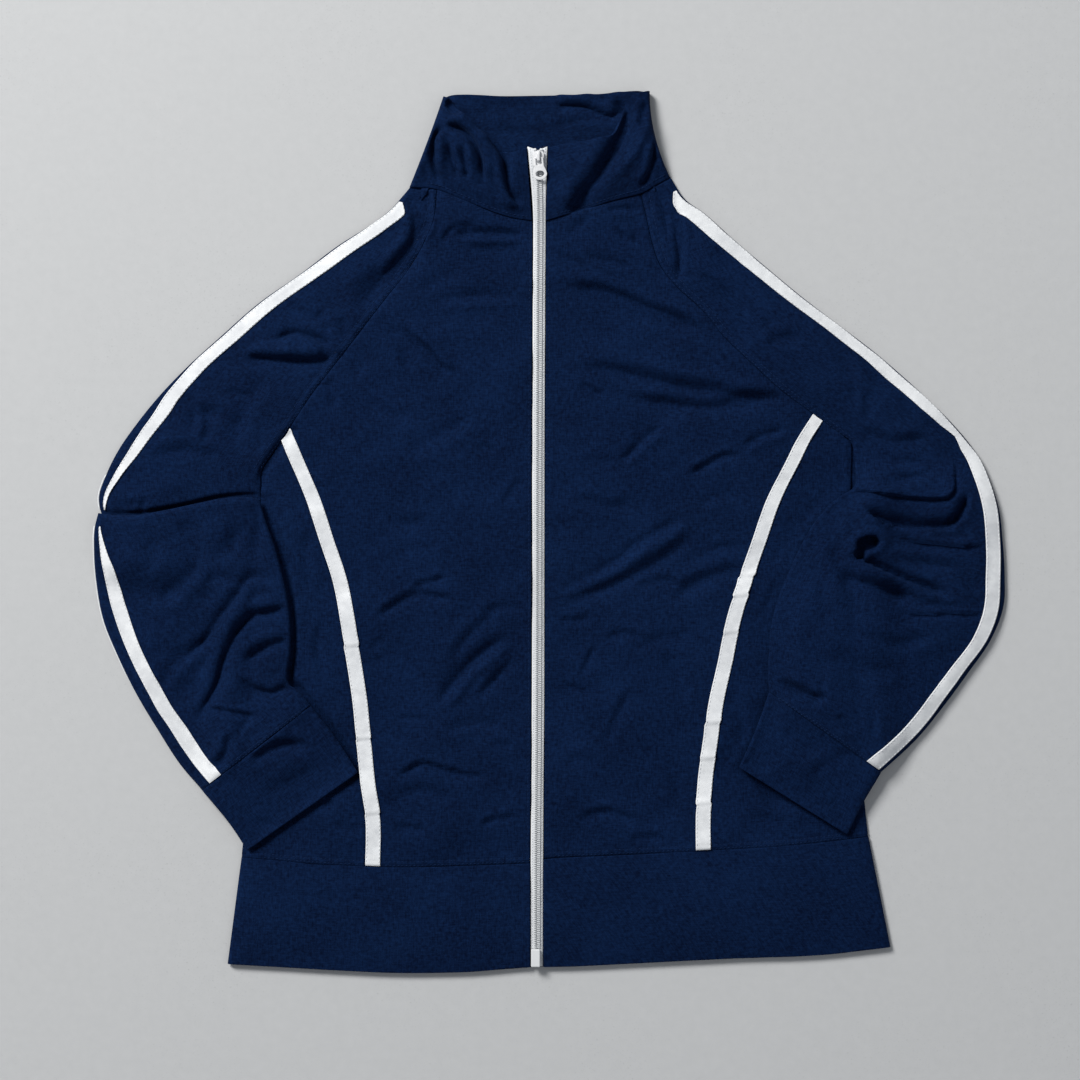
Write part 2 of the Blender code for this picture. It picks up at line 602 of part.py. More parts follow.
def front_side(name, tape_edge, side_line, navy):
    """A side front, from the curved tape to the side seam."""
    edge = np.array(tape_edge)
    share = (edge[0, 1] - edge[:, 1]) / (edge[0, 1] - edge[-1, 1])
    y = side_line[0][1] + share * (side_line[-1][1] - side_line[0][1])
    to = np.stack([side_at(side_line, y), y], axis=-1)
    plan = np.stack([edge + (to - edge) * part / SIDE_PARTS for part in range(SIDE_PARTS + 1)], 1)
    plan[-1, :, 1] = height_at(HEM_SEAM, plan[-1, :, 0])
    plan = pull_in(plan, SEAM / 2)
    under = under_front(plan)
    wall(name, lifted(plan, under + CLOTH), lifted(plan, under), navy)


def fronts(navy, white):
    """Both fronts, each in two panels, and the tapes over the seams between them."""
    raglan = inners(UPPER_LEFT[:TAPE_CORNER_LEFT + 1])
    raglan[0] = NECK_LEFT[0]
    edge = raglan + BODY_TAPE_LEFT
    outer = front_centre("front_centre_left", edge, ZIP_ROWS_LEFT, NECK_LEFT, navy)
    tape_over("body_tape_left", outer, (TAPE_CORNER_LEFT, len(outer) - 1), (0, 1), white)
    front_side("front_side_left", [raglan[-1]] + BODY_TAPE_LEFT, SIDE_LEFT, navy)

    raglan = inners(SLEEVE_RIGHT[:TAPE_CORNER_RIGHT + 1])
    edge = raglan + BODY_TAPE_RIGHT
    outer = front_centre("front_centre_right", edge, ZIP_ROWS_RIGHT, NECK_RIGHT, navy)
    tape_over("body_tape_right", outer, (TAPE_CORNER_RIGHT, len(outer) - 1), (0, 1), white)
    front_side("front_side_right", [raglan[-1]] + BODY_TAPE_RIGHT, SIDE_RIGHT, navy)


def back(navy):
    """The back, one flat panel that the rest lies on."""
    ring = SIDE_LEFT + HEM_SEAM_BACK[1:-1] + SIDE_RIGHT[::-1]
    ring += inners(SLEEVE_RIGHT[1:ARMPIT_RIGHT])[::-1] + NECK_BACK[::-1]
    ring += inners(UPPER_LEFT[1:ARMPIT_LEFT])
    ring = np.array(ring)
    ahead, behind = np.roll(ring, -1, axis=0) - ring, ring - np.roll(ring, 1, axis=0)
    ahead /= np.linalg.norm(ahead, axis=-1, keepdims=True)
    behind /= np.linalg.norm(behind, axis=-1, keepdims=True)
    inward = np.stack([-(ahead + behind)[:, 1], (ahead + behind)[:, 0]], axis=-1)
    inward /= np.linalg.norm(inward, axis=-1, keepdims=True)
    ring = ring + inward * SEAM
    count = len(ring)
    points = [(x, y, z) for z in (0.0, CLOTH) for x, y in ring]
    faces = [tuple(range(count)), tuple(range(2 * count - 1, count - 1, -1))]
    faces += [(i, (i + 1) % count, count + (i + 1) % count, count + i) for i in range(count)]
    place("back", solid_mesh("back", points, faces), navy)


# ---------------------------------------------------------------- bands

Line = namedtuple("Line", "seam edge bow under kind")


def toward(start, end, away):
    """A line moved from one line towards another, at both of its ends."""
    moved = []
    for a, b in ((start.seam, end.seam), (start.edge, end.edge)):
        a, b = np.array(a, float), np.array(b, float)
        moved.append(a + (b - a) / np.linalg.norm(b - a) * away)
    return moved


def band_wall(name, lines, rows, under, navy):
    """A doubled band from zip to zip: front lines, a fold, back lines, a fold and front lines."""
    outer_lines, inner_lines = [], []
    for i, line in enumerate(lines):
        if line.kind != "fold":
            outer_lines.append((line.seam, line.edge, line, line.kind))
            inner_lines.append((line.seam, line.edge, line, line.kind))
            continue
        before, after = lines[i - 1], lines[i + 1]
        for near, away, kind in ((before, ROUND, before.kind), (None, 0, "fold"),
                                 (after, ROUND, after.kind)):
            out = toward(line, near, away) if near else (line.seam, line.edge)
            depth = away - ROUND + BAND + FOLD_CLEAR if near else BAND
            other = near if near else (before if before.kind == "front" else after)
            into = toward(line, other, depth)
            outer_lines.append((*out, line, kind))
            inner_lines.append((*into, line, kind))

    def grid(sides, is_outer):
        rings = []
        for share in rows:
            ring = []
            for seam, edge, line, kind in sides:
                x, y = np.array(seam) * (1 - share) + np.array(edge) * share
                x += line.bow * 4 * share * (1 - share)
                low = under(np.array([x, y]), share, line)
                if kind == "back":
                    z = 0.0 if is_outer else BAND
                elif kind == "fold":
                    z = (low + BAND) / 2
                else:
                    z = low + BAND if is_outer else low
                ring.append((x, y, z))
            rings.append(ring)
        return np.array(rings)

    wall(name, grid(outer_lines, True), grid(inner_lines, False), navy)


def collar(navy):
    """The stand collar, lying down, its fronts on its back."""
    def under(point, share, line):
        low = under_front(point[None])[0]
        height = low + (line.under - low) * share
        return max(height + creased(point[None], COLLAR_CREASES)[0], BAND + LAY)

    def line_of(row, kind):
        seam_y = row.seam_y + SEAM
        return Line((row.seam_x, seam_y), (row.edge_x, row.edge_y), row.bow, row.rise, kind)

    lines = [line_of(row, "front") for row in COLLAR_FRONT_LEFT]
    lines.append(line_of(COLLAR_FOLD_LEFT, "fold"))
    lines += [line_of(row, "back") for row in COLLAR_BACK]
    lines.append(line_of(COLLAR_FOLD_RIGHT, "fold"))
    lines += [line_of(row, "front") for row in COLLAR_FRONT_RIGHT]
    band_wall("collar", lines, COLLAR_ROWS, under, navy)


def hem_band(navy):
    """The hem band, from the zip round the back to the zip."""
    def line_at(x, kind):
        share = (x - HEM_SEAM[0][0]) / (HEM_SEAM[-1][0] - HEM_SEAM[0][0])
        edge_x = HEM_EDGE[0][0] + share * (HEM_EDGE[-1][0] - HEM_EDGE[0][0])
        if kind == "zip":
            edge_x, kind = x, "front"
        table = HEM_SEAM_BACK if kind == "back" else HEM_SEAM
        seam = (x, height_at(table, x) - SEAM)
        return Line(seam, (edge_x, height_at(HEM_EDGE, edge_x)), 0, 0, kind)

    middle = zip_at(HEM_EDGE[0][1])
    left = [line_at(x, "front") for x in HEM_LINES_LEFT]
    right = [line_at(x, "front") for x in HEM_LINES_RIGHT]
    lines = [line_at(middle - ZIP_GAP / 2, "zip"), *left, line_at(HEM_SEAM[0][0], "fold")]
    lines += [line_at(x, "back") for x, _ in HEM_SEAM_BACK[1:-1]]
    lines += [line_at(HEM_SEAM[-1][0], "fold"), *right, line_at(middle + ZIP_GAP / 2, "zip")]

    def under(point, share, line):
        return under_front(point[None])[0]

    band_wall("hem_band", lines, HEM_ROWS, under, navy)


# ---------------------------------------------------------------- zip

def zip_under(y):
    """Height of the cloth's underside beside the zip."""
    points = np.stack([zip_at(y), y], axis=-1)
    low = under_front(points)
    seam_y, edge_y = NECK_RIGHT[0][1], ZIP_TOP
    share = np.clip((y - seam_y) / (edge_y - seam_y), 0, 1)
    return low + (COLLAR_FRONT_LEFT[0].rise - low) * share


def zip_strip(name, ends, sides, heights, finish):
    """A strip along the zip, between two distances from its middle and two heights over the cloth."""
    y = np.linspace(*ends, 2 + int(abs(ends[1] - ends[0]) / ZIP_STEP))
    low = zip_under(y)
    grids = []
    for height in heights:
        columns = [np.stack([zip_at(y) + side, y, low + height], axis=-1) for side in sides]
        grids.append(np.stack(columns, axis=1))
    return wall(name, grids[1], grids[0], finish)


def rounded_box(name, size, centre, bevel, finish):
    """A box with rounded edges, standing at its centre."""
    mesh = bpy.data.meshes.new(name)
    shape = bmesh.new()
    bmesh.ops.create_cube(shape, size=1.0)
    bmesh.ops.scale(shape, vec=[side * MM for side in size], verts=shape.verts)
    bmesh.ops.bevel(shape, geom=list(shape.edges), offset=bevel * MM, segments=2, profile=0.5,
                    affect="EDGES")
    bmesh.ops.translate(shape, vec=[c * MM for c in centre], verts=shape.verts)
    shape.to_mesh(mesh)
    shape.free()
    mesh.shade_smooth()
    mesh.set_sharp_from_angle(angle=math.radians(35))
    return place(name, mesh, finish)


def outline_plate(name, rings, thickness):
    """A flat plate from an outline and the outlines of its holes, lying in its own XY plane."""
    curve = bpy.data.curves.new(name, "CURVE")
    curve.dimensions = "2D"
    curve.fill_mode = "BOTH"
    curve.extrude = thickness * MM / 2
    for ring in rings:
        spline = curve.splines.new("POLY")
        spline.points.add(len(ring) - 1)
        for point, (x, y) in zip(spline.points, ring):
            point.co = (x * MM, y * MM, 0, 1)
        spline.use_cyclic_u = True
    flat = bpy.data.objects.new(name + "_outline", curve)
    bpy.context.scene.collection.objects.link(flat)
    bpy.context.view_layer.update()
    mesh = bpy.data.meshes.new_from_object(flat.evaluated_get(bpy.context.evaluated_depsgraph_get()))
    bpy.data.objects.remove(flat)
    shape = bmesh.new()
    shape.from_mesh(mesh)
    bmesh.ops.remove_doubles(shape, verts=shape.verts, dist=1e-7)
    bmesh.ops.recalc_face_normals(shape, faces=shape.faces)
    shape.to_mesh(mesh)
    shape.free()
    mesh.materials.clear()
    mesh.set_sharp_from_angle(angle=math.radians(35))
    return mesh


def oval(width, height, centre, steps):
    """Points round an oval."""
    turns = [2 * math.pi * step / steps for step in range(steps)]
    return [(width / 2 * math.cos(t), centre + height / 2 * math.sin(t)) for t in turns]


def slider(hinge, deck, enamel):
    """The zip's slider: a waisted body with an arch that holds the pull."""
    half, long = SLIDER_WIDTH / 2, SLIDER_LENGTH / 2
    outline = [(half * x, long * y) for x, y in SLIDER_SIDE]
    outline += [(-x, y) for x, y in outline[::-1]]
    body = place("zip_slider", outline_plate("zip_slider", [outline], SLIDER_HEIGHT), enamel)
    body.location = (hinge[0] * MM, SLIDER_Y * MM, (deck + SLIDER_HEIGHT / 2) * MM)
    reach = ARCH_REACH
    foot, low, high = reach + ARCH_SPLAY, reach - ARCH_LEG[0], reach - ARCH_LEG[1]
    profile = [(-foot, -ARCH_SINK), (-reach, ARCH_HEIGHT), (reach, ARCH_HEIGHT), (foot, -ARCH_SINK)]
    gap = [(-low, 0.0), (-high, ARCH_HEIGHT - ARCH_BAR), (high, ARCH_HEIGHT - ARCH_BAR), (low, 0.0)]
    arch = place("slider_arch", outline_plate("slider_arch", [profile, gap], ARCH_WIDTH), enamel)
    arch.rotation_euler = (math.pi / 2, 0, math.pi / 2)
    arch.location = (hinge[0] * MM, SLIDER_Y * MM, (deck + SLIDER_HEIGHT) * MM)
    arch.hide_render = True
    arch.display_type = "WIRE"
    joined = body.modifiers.new("arch", "BOOLEAN")
    joined.operation = "UNION"
    joined.object = arch


def pull(hinge, enamel):
    """The pull: a plate with an eye at its end and a bar through the slider's arch."""
    neck, half, bar = PULL_NECK / 2, PULL_WIDTH / 2, PULL_THICK / 2
    side = [(neck, bar), (neck, -PULL_WINDOW - PULL_SHOULDER),
            (half * PULL_HIP[0], -PULL_LENGTH * PULL_HIP[1])]
    turns = [math.pi * part / PULL_ROUND_PARTS for part in range(PULL_ROUND_PARTS + 1)]
    end = [(half * math.cos(turn), -PULL_LENGTH + PULL_ROUND * (1 - math.sin(turn))) for turn in turns]
    outline = side + end + [(-x, y) for x, y in side[::-1]]
    gap = neck - PULL_ARM
    window = [(gap, -bar), (gap, -PULL_WINDOW), (-gap, -PULL_WINDOW), (-gap, -bar)]
    eye = oval(*PULL_HOLE, PULL_HOLE_UP - PULL_LENGTH, 2 * PULL_ROUND_PARTS)
    mesh = outline_plate("zip_pull", [outline, window, eye], PULL_THICK)
    plate = place("zip_pull", mesh, enamel)
    pivot = bpy.data.objects.new("zip_pull_pivot", None)
    bpy.context.scene.collection.objects.link(pivot)
    pivot.location = [value * MM for value in hinge]
    pivot.rotation_euler = (math.radians(PULL_TILT), 0, 0)
    plate.parent = pivot


def zip_parts(white, plastic, enamel):
    """The closed zip, with its slider at the top and its box at the hem."""
    bottom = HEM_EDGE[4][1] + BOX_UP
    box_top = bottom + BOX_SIZE[1]
    half = ZIP_GAP / 2
    layer = (ZIP_LAY, ZIP_LAY + TAPE)
    zip_strip("zip_tape_left", (bottom, ZIP_TOP), (-half + SEAM, -TAPES_MEET), layer, white)
    zip_strip("zip_tape_right", (bottom, ZIP_TOP), (TAPES_MEET, half - SEAM), layer, white)
    chain_low = ZIP_LAY + TAPE + SEAM
    chain_ends = (box_top + SEAM, SLIDER_Y - SLIDER_LENGTH / 2 - SEAM)
    zip_strip("zip_chain", chain_ends, (-CHAIN_WIDTH / 2, 0.0, CHAIN_WIDTH / 2),
              (chain_low, chain_low + CHAIN_HEIGHT), plastic)

    def deck_at(y):
        return float(zip_under(np.array([y]))[0]) + chain_low

    box_y = bottom + BOX_SIZE[1] / 2
    box_z = deck_at(box_top) + BOX_SIZE[2] / 2 + ZIP_LAY
    rounded_box("zip_box", BOX_SIZE, (zip_at(box_y) - BOX_LEFT, box_y, box_z), BOX_ROUND, plastic)
    for name, side in (("zip_stop_left", -1), ("zip_stop_right", 1)):
        stop_z = deck_at(ZIP_TOP) + STOP_SIZE[2] / 2
        centre = (zip_at(ZIP_TOP) + side * STOP_OUT, ZIP_TOP - STOP_DOWN, stop_z)
        rounded_box(name, STOP_SIZE, centre, STOP_ROUND, plastic)
    deck = deck_at(SLIDER_Y) + ZIP_LAY
    hinge = (float(zip_at(SLIDER_Y)), SLIDER_Y + HINGE_Y, deck + SLIDER_HEIGHT + PULL_THICK)
    slider(hinge, deck, enamel)
    pull(hinge, enamel)


def main():
    for thing in list(bpy.data.objects):
        bpy.data.objects.remove(thing)
    navy = material("navy_knit", NAVY, 0.85)
    white = material("white_tape", WHITE, 0.8)
    plastic = material("white_nylon", WHITE, 0.45)
    enamel = material("white_enamel", WHITE, 0.3)
    back(navy)
    fronts(navy, white)
    sleeves(navy, white)
    cuffs(navy)
    collar(navy)
    hem_band(navy)
    zip_parts(white, plastic, enamel)


if __name__ == "__main__":
    main()
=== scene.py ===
"""A zip-up track jacket laid flat, front up, with its forearms folded in over the body.

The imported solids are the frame. Each class below cuts, sews and dresses one part of the jacket: the
body, the sleeves with their cuffs, the collar, the hem band and the zip. Plan sizes are in
millimetres, as in the part's own source; meshes are made in metres.
"""
import logging
import math
from dataclasses import dataclass, field
from enum import Enum
from typing import Callable, Sequence

import bmesh
import bpy
import numpy as np
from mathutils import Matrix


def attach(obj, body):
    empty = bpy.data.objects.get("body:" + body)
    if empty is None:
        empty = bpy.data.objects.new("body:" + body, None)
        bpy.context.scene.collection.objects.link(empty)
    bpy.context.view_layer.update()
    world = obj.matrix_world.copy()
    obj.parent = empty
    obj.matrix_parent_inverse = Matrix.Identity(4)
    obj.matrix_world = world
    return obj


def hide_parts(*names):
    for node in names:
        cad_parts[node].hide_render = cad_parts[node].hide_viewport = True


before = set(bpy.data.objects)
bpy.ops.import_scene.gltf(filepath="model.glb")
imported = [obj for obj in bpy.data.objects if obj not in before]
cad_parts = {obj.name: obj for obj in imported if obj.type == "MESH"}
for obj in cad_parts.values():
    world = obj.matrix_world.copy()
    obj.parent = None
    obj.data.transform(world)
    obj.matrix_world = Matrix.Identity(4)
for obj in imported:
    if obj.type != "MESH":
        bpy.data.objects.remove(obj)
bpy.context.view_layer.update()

MM = 0.001
GARMENT = "garment"
PULL = "pull"
LOG = logging.getLogger("track_jacket")

Array = np.ndarray
Point = tuple[float, float]
Rows = Sequence[Sequence[float]]
Mesh, Material = bpy.types.Mesh, bpy.types.Material
Node, Socket, Tree = bpy.types.Node, bpy.types.NodeSocket, bpy.types.NodeTree


# ---------------------------------------------------------------- sizes shared by the pieces

@dataclass(frozen=True)
class Cloth:
    """Thicknesses and clearances of the cloth, and how high its layers lie."""
    single: float = 1.2
    wall: float = 1.4
    band: float = 2.2
    tape: float = 0.7
    tape_width: float = 12.0
    tapes_apart: float = 12.0
    tape_lift: float = 0.3
    back_tape_lift: float = 1.2
    seam_inset: float = 0.36
    rim_out: float = 0.45
    lay: float = 1.0
    low: float = 3.2
    loft: float = 4.0
    roll: float = 22.0
    press: float = 2.6
    hollow: float = 0.35
    tuck: float = 2.4
    collar_rise: float = 8.5
    ramp: tuple[float, float] = (45.0, 12.0)


CLOTH = Cloth()

# Sleeves: outer point, inner point, margin from the overarm fold to the front tape, over (1 where the
# sleeve lies on the body) and closed (1 where the underarm edge is folded shut).
UPPER_LEFT = [
    (-116.4, 280.0, -92.7, 278.4, 1.6, 0, 0), (-129.6, 264.4, -95.1, 256.2, 1.6, 0, 0),
    (-147.6, 250.5, -103.3, 236.6, 1.6, 0, 0), (-172.2, 234.9, -116.4, 214.4, 1.6, 0, 0),
    (-205.0, 210.3, -135.3, 189.8, 1.6, 0, 0), (-237.8, 187.4, -155.8, 162.8, 1.6, 0, 0),
    (-270.6, 158.7, -177.9, 134.1, 1.8, 0, 0), (-297.7, 134.1, -193.5, 114.0, 2.6, 0, 0),
    (-319.8, 111.1, -206.5, 95.0, 5.0, 0, 0), (-337.8, 89.0, -219.8, 74.2, 8.0, 0, 0),
    (-354.2, 65.2, -236.2, 48.8, 9.0, 0, 0), (-363.8, 45.5, -236.8, 36.0, 7.0, 0, 1),
    (-369.4, 27.0, -238.4, 20.0, 4.0, 0, 1), (-366.0, 11.0, -248.0, 3.0, 3.0, 0, 1),
    (-350.0, -8.0, -268.0, -16.0, 3.0, 0, 1),
]
FOREARM_LEFT = [
    (-369.0, 15.0, -237.0, 25.8, 3.0, 1, 1), (-371.3, 5.3, -232.9, 11.1, 4.0, 1, 1),
    (-372.3, -15.2, -224.7, -11.9, 6.0, 1, 1), (-371.5, -39.8, -217.3, -39.8, 9.0, 1, 1),
    (-365.7, -72.6, -212.4, -68.5, 11.0, 1, 1), (-354.2, -101.3, -211.6, -95.5, 10.6, 1, 1),
    (-339.5, -131.6, -214.0, -115.2, 10.0, 1, 1), (-321.4, -162.0, -212.8, -124.5, 10.0, 1, 1),
    (-301.5, -192.5, -204.0, -131.4, 10.4, 1, 1), (-284.8, -211.6, -195.2, -142.2, 10.4, 1, 1),
]
SLEEVE_RIGHT = [
    (99.5, 288.5, 74.6, 275.9, 1.6, 0, 0), (110.7, 271.8, 78.7, 257.5, 1.6, 0, 0),
    (125.5, 261.2, 82.8, 239.0, 1.6, 0, 0), (147.6, 241.5, 89.4, 219.0, 1.6, 0, 0),
    (176.3, 216.9, 103.3, 200.5, 1.6, 0, 0), (209.1, 189.8, 124.6, 180.8, 1.6, 0, 0),
    (239.4, 166.9, 142.7, 158.7, 1.6, 0, 0), (267.3, 145.5, 165.6, 136.6, 1.6, 0, 0),
    (291.1, 125.0, 190.2, 114.4, 1.6, 0, 0), (311.6, 106.2, 208.0, 101.4, 1.6, 0, 0),
    (328.0, 89.8, 223.0, 90.6, 1.6, 0, 0), (342.8, 72.6, 236.2, 80.6, 1.6, 0, 0),
    (352.6, 58.6, 246.8, 72.6, 1.6, 0, 0), (360.0, 42.2, 249.8, 52.1, 2.0, 0.5, 1),
    (364.9, 28.3, 247.5, 35.5, 2.6, 1, 1), (367.4, 19.3, 236.2, 28.3, 3.0, 1, 1),
    (370.6, -7.0, 217.3, 9.4, 3.6, 1, 1), (372.3, -35.7, 200.9, -19.3, 5.0, 1, 1),
    (371.5, -60.3, 187.8, -49.6, 5.0, 1, 1), (360.8, -89.0, 180.4, -76.7, 4.4, 1, 1),
    (342.8, -115.2, 178.8, -95.5, 4.4, 1, 1), (322.3, -143.1, 177.9, -108.6, 4.4, 1, 1),
    (299.3, -171.0, 177.9, -120.1, 4.4, 1, 1), (270.6, -196.4, 178.8, -130.8, 4.0, 1, 1),
]
FOREARM_BOW = [(0.0, 0.0), (0.12, -3.4), (0.25, -4.4), (0.46, -1.6), (0.62, 1.4), (0.75, 3.6), (0.86, 4.0),
               (0.95, 2.6), (1.0, 0.0)]
CUFF_LEFT = [
    (-284.7, -211.8, -195.1, -142.4, 0, 1, 1), (-263.2, -236.6, -174.7, -168.5, 0, 1, 1),
    (-247.6, -260.3, -156.8, -196.4, 0, 1, 1),
]
CUFF_RIGHT = [
    (270.45, -196.7, 178.65, -131.1, 0, 1, 1), (255.8, -221.8, 167.3, -162.8, 0, 1, 1),
    (242.7, -247.2, 154.2, -192.3, 0, 1, 1),
]
TAPE_CORNER_LEFT, ARMPIT_LEFT, TAPES_PART_LEFT = 9, 10, 12
TAPE_CORNER_RIGHT, ARMPIT_RIGHT = 10, 12

BODY_TAPE_LEFT = [
    (-213.2, 58.6), (-199.3, 25.8), (-188.6, -7.0), (-177.9, -39.8), (-171.4, -72.6), (-166.5, -105.4),
    (-161.5, -138.2), (-158.3, -171.0), (-155.0, -203.8), (-150.9, -232.5), (-150.9, -273.2),
]
BODY_TAPE_RIGHT = [
    (213.2, 75.0), (205.0, 58.6), (188.6, 25.8), (177.1, -7.0), (165.6, -39.8), (155.8, -72.6),
    (149.2, -105.4), (141.9, -138.2), (136.9, -171.0), (132.8, -203.8), (131.2, -232.5), (131.2, -260.6),
]
ZIP_ROWS_LEFT = [254, 232, 210, 188, 166, 144, 122, 101, 82, 64,
                 48, 20, -9, -40, -72, -105, -138, -171, -204, -234, -271]
ZIP_ROWS_RIGHT = [254, 236, 218, 200, 180, 160, 140, 120, 101, 86, 74,
                  60, 44, 14, -13, -43, -74, -106, -138, -171, -204, -232, -267]
SIDE_LEFT = [(-236.2, 48.8), (-236.8, 36.0), (-238.4, 20.0), (-240.0, -10.0), (-243.0, -100.0),
             (-248.0, -200.0), (-252.6, -266.1)]
SIDE_RIGHT = [(247.0, 72.6), (247.0, 58.0), (246.6, 42.0), (247.0, 26.0), (247.0, -60.0),
              (252.0, -160.0), (260.8, -249.7)]
HEM_SEAM = [(-252.6, -266.1), (-205.0, -270.2), (-123.0, -274.3), (-57.4, -272.6), (-15.6, -271.0),
            (-3.3, -266.9), (73.8, -263.6), (114.8, -261.2), (188.6, -257.1), (260.8, -249.7)]
HEM_SEAM_BACK = [(-252.6, -266.1), (-205.0, -270.2), (-123.0, -274.3), (-57.4, -273.2), (-10.0, -270.6),
                 (73.8, -265.6), (114.8, -262.4), (188.6, -257.1), (260.8, -249.7)]
HEM_EDGE = [(-264.0, -353.8), (-205.0, -357.1), (-123.0, -361.0), (-57.4, -359.6), (-16.4, -356.2),
            (-3.3, -356.2), (73.8, -353.0), (155.8, -348.9), (221.4, -346.4), (278.8, -339.9)]
NECK_LEFT = [(-92.7, 279.2), (-73.8, 271.8), (-59.9, 266.1), (-45.1, 260.3), (-31.2, 256.2),
             (-14.8, 253.8)]
NECK_RIGHT = [(-3.3, 253.8), (16.4, 259.5), (36.9, 265.3), (49.2, 269.4), (61.5, 272.6), (74.6, 276.0)]
NECK_BACK = [(-92.7, 279.2), (-50.0, 284.5), (0.0, 286.0), (50.0, 284.5), (74.6, 276.3)]
ZIP_LINE = [(-10.8, -356.0), (-10.8, -302.0), (-9.8, -138.0), (-9.4, 91.0), (-9.0, 190.0),
            (-8.8, 272.0), (-9.8, 313.0)]
UNDERARM_LEFT = [(-238.4, 20.0), (-248.0, 3.0), (-268.0, -16.0)]

# The collar: the neck seam's point, the free edge's point, bow to the right and rise at the free edge
COLLAR_FRONT_LEFT = [
    (-14.8, 254.1, -18.9, 312.8, 0, 8.5), (-31.2, 256.5, -38.5, 309.5, 0, 11.0),
    (-45.1, 260.6, -54.1, 323.5, 0, 14.0), (-59.9, 266.4, -66.2, 335.6, 0, 15.0),
    (-76.0, 273.0, -75.4, 344.0, 0, 14.0), (-92.7, 279.5, -81.0, 350.5, 0, 12.0),
]
COLLAR_FOLD_LEFT = (-115.2, 281.7, -87.4, 355.6, 1, 8.0)
COLLAR_BACK = [
    (-90.0, 279.9, -72.0, 356.8, 0, 0), (-50.0, 284.8, -41.0, 355.7, 0, 0), (0.0, 286.3, 0.0, 356.0, 0, 0),
    (50.0, 284.8, 41.0, 357.3, 0, 0), (73.0, 277.7, 66.0, 359.6, 0, 0),
]
COLLAR_FOLD_RIGHT = (98.4, 289.7, 81.6, 359.8, -4.5, 8.0)
COLLAR_FRONT_RIGHT = [
    (86.4, 282.9, 68.9, 356.0, -3, 11.0), (74.6, 276.3, 60.7, 347.4, 0, 9.0),
    (61.5, 272.9, 55.8, 336.6, 0, 9.0), (49.2, 269.7, 50.0, 325.9, 0, 11.0),
    (34.0, 264.9, 34.4, 319.4, 0, 12.5), (16.4, 259.8, 16.4, 316.9, 0, 11.0),
    (-3.3, 254.1, -1.6, 312.8, 0, 8.5),
]


# ---------------------------------------------------------------- lines and heights

def smooth(value: Array | float, low: float, high: float) -> Array:
    """An even change from 0 at low to 1 at high."""
    t = np.clip((np.asarray(value, float) - low) / (high - low), 0, 1)
    return t * t * (3 - 2 * t)


def bell(value: Array) -> Array:
    """A rounded bump, 1 at nought."""
    return np.exp(-value * value)


def unit(vectors: Array) -> Array:
    """Vectors with a length of one."""
    return vectors / np.maximum(np.linalg.norm(vectors, axis=-1, keepdims=True), 1e-9)


def rounding(away: Array, reach: float) -> Array:
    """How much of its full thickness a folded layer has at a distance from the fold.

    Args:
        away: Distances from the fold, in plan.
        reach: Distance at which the layer has its full thickness.

    Returns:
        Shares from 0 at the fold to 1.
    """
    return np.sqrt(np.maximum(1 - (1 - np.clip(away / reach, 0, 1)) ** 2, 0))


class Curve:
    """A smooth line through the rows of a table, which may keep sharp corners."""

    def __init__(self, rows: Rows, corners: Sequence[int] = ()) -> None:
        """Fits the line.

        Args:
            rows: The table; its first two columns are the plan point.
            corners: Rows at which the line turns sharply.
        """
        self.rows = np.asarray(rows, float)
        step = np.linalg.norm(np.diff(self.rows[:, :2], axis=0), axis=1)
        self.knots = np.concatenate([[0.0], np.cumsum(step)])
        slope = np.diff(self.rows, axis=0) / step[:, None]
        share = (step[1:] / (step[1:] + step[:-1]))[:, None]
        mean = slope[:-1] * share + slope[1:] * (1 - share)
        self.arrive = np.concatenate([slope[:1], mean, slope[-1:]])
        self.leave = self.arrive.copy()
        for corner in corners:
            self.arrive[corner] = slope[corner - 1]
            self.leave[corner] = slope[corner]

    @property
    def length(self) -> float:
        """Length of the line."""
        return float(self.knots[-1])

    def at(self, where: Array) -> Array:
        """Rows of the table at distances along the line, which goes straight on beyond its ends."""
        asked = np.atleast_1d(np.asarray(where, float))
        where = np.clip(asked, 0, self.length)
        beyond = (asked - where)[:, None]
        i = np.clip(np.searchsorted(self.knots, where, "right") - 1, 0, len(self.knots) - 2)
        gap = (self.knots[i + 1] - self.knots[i])[:, None]
        t = (where - self.knots[i])[:, None] / gap
        held = ((1 + 2 * t) * (1 - t) ** 2 * self.rows[i] + t * (1 - t) ** 2 * gap * self.leave[i]
                + t * t * (3 - 2 * t) * self.rows[i + 1] - t * t * (1 - t) * gap * self.arrive[i + 1])
        return held + np.minimum(beyond, 0) * self.leave[0] + np.maximum(beyond, 0) * self.arrive[-1]

    def every(self, step: float) -> Array:
        """Rows at even distances of about step."""
        return self.at(np.linspace(0, self.length, max(2, int(self.length / step) + 1)))

    def y_at(self, x: Array) -> Array:
        """The y of the line at each x."""
        line = self.every(1.5)
        line = line[np.argsort(line[:, 0])]
        return np.interp(x, line[:, 0], line[:, 1])

    def x_at(self, y: Array) -> Array:
        """The x of the line at each y."""
        line = self.every(1.5)
        line = line[np.argsort(line[:, 1])]
        return np.interp(y, line[:, 1], line[:, 0])


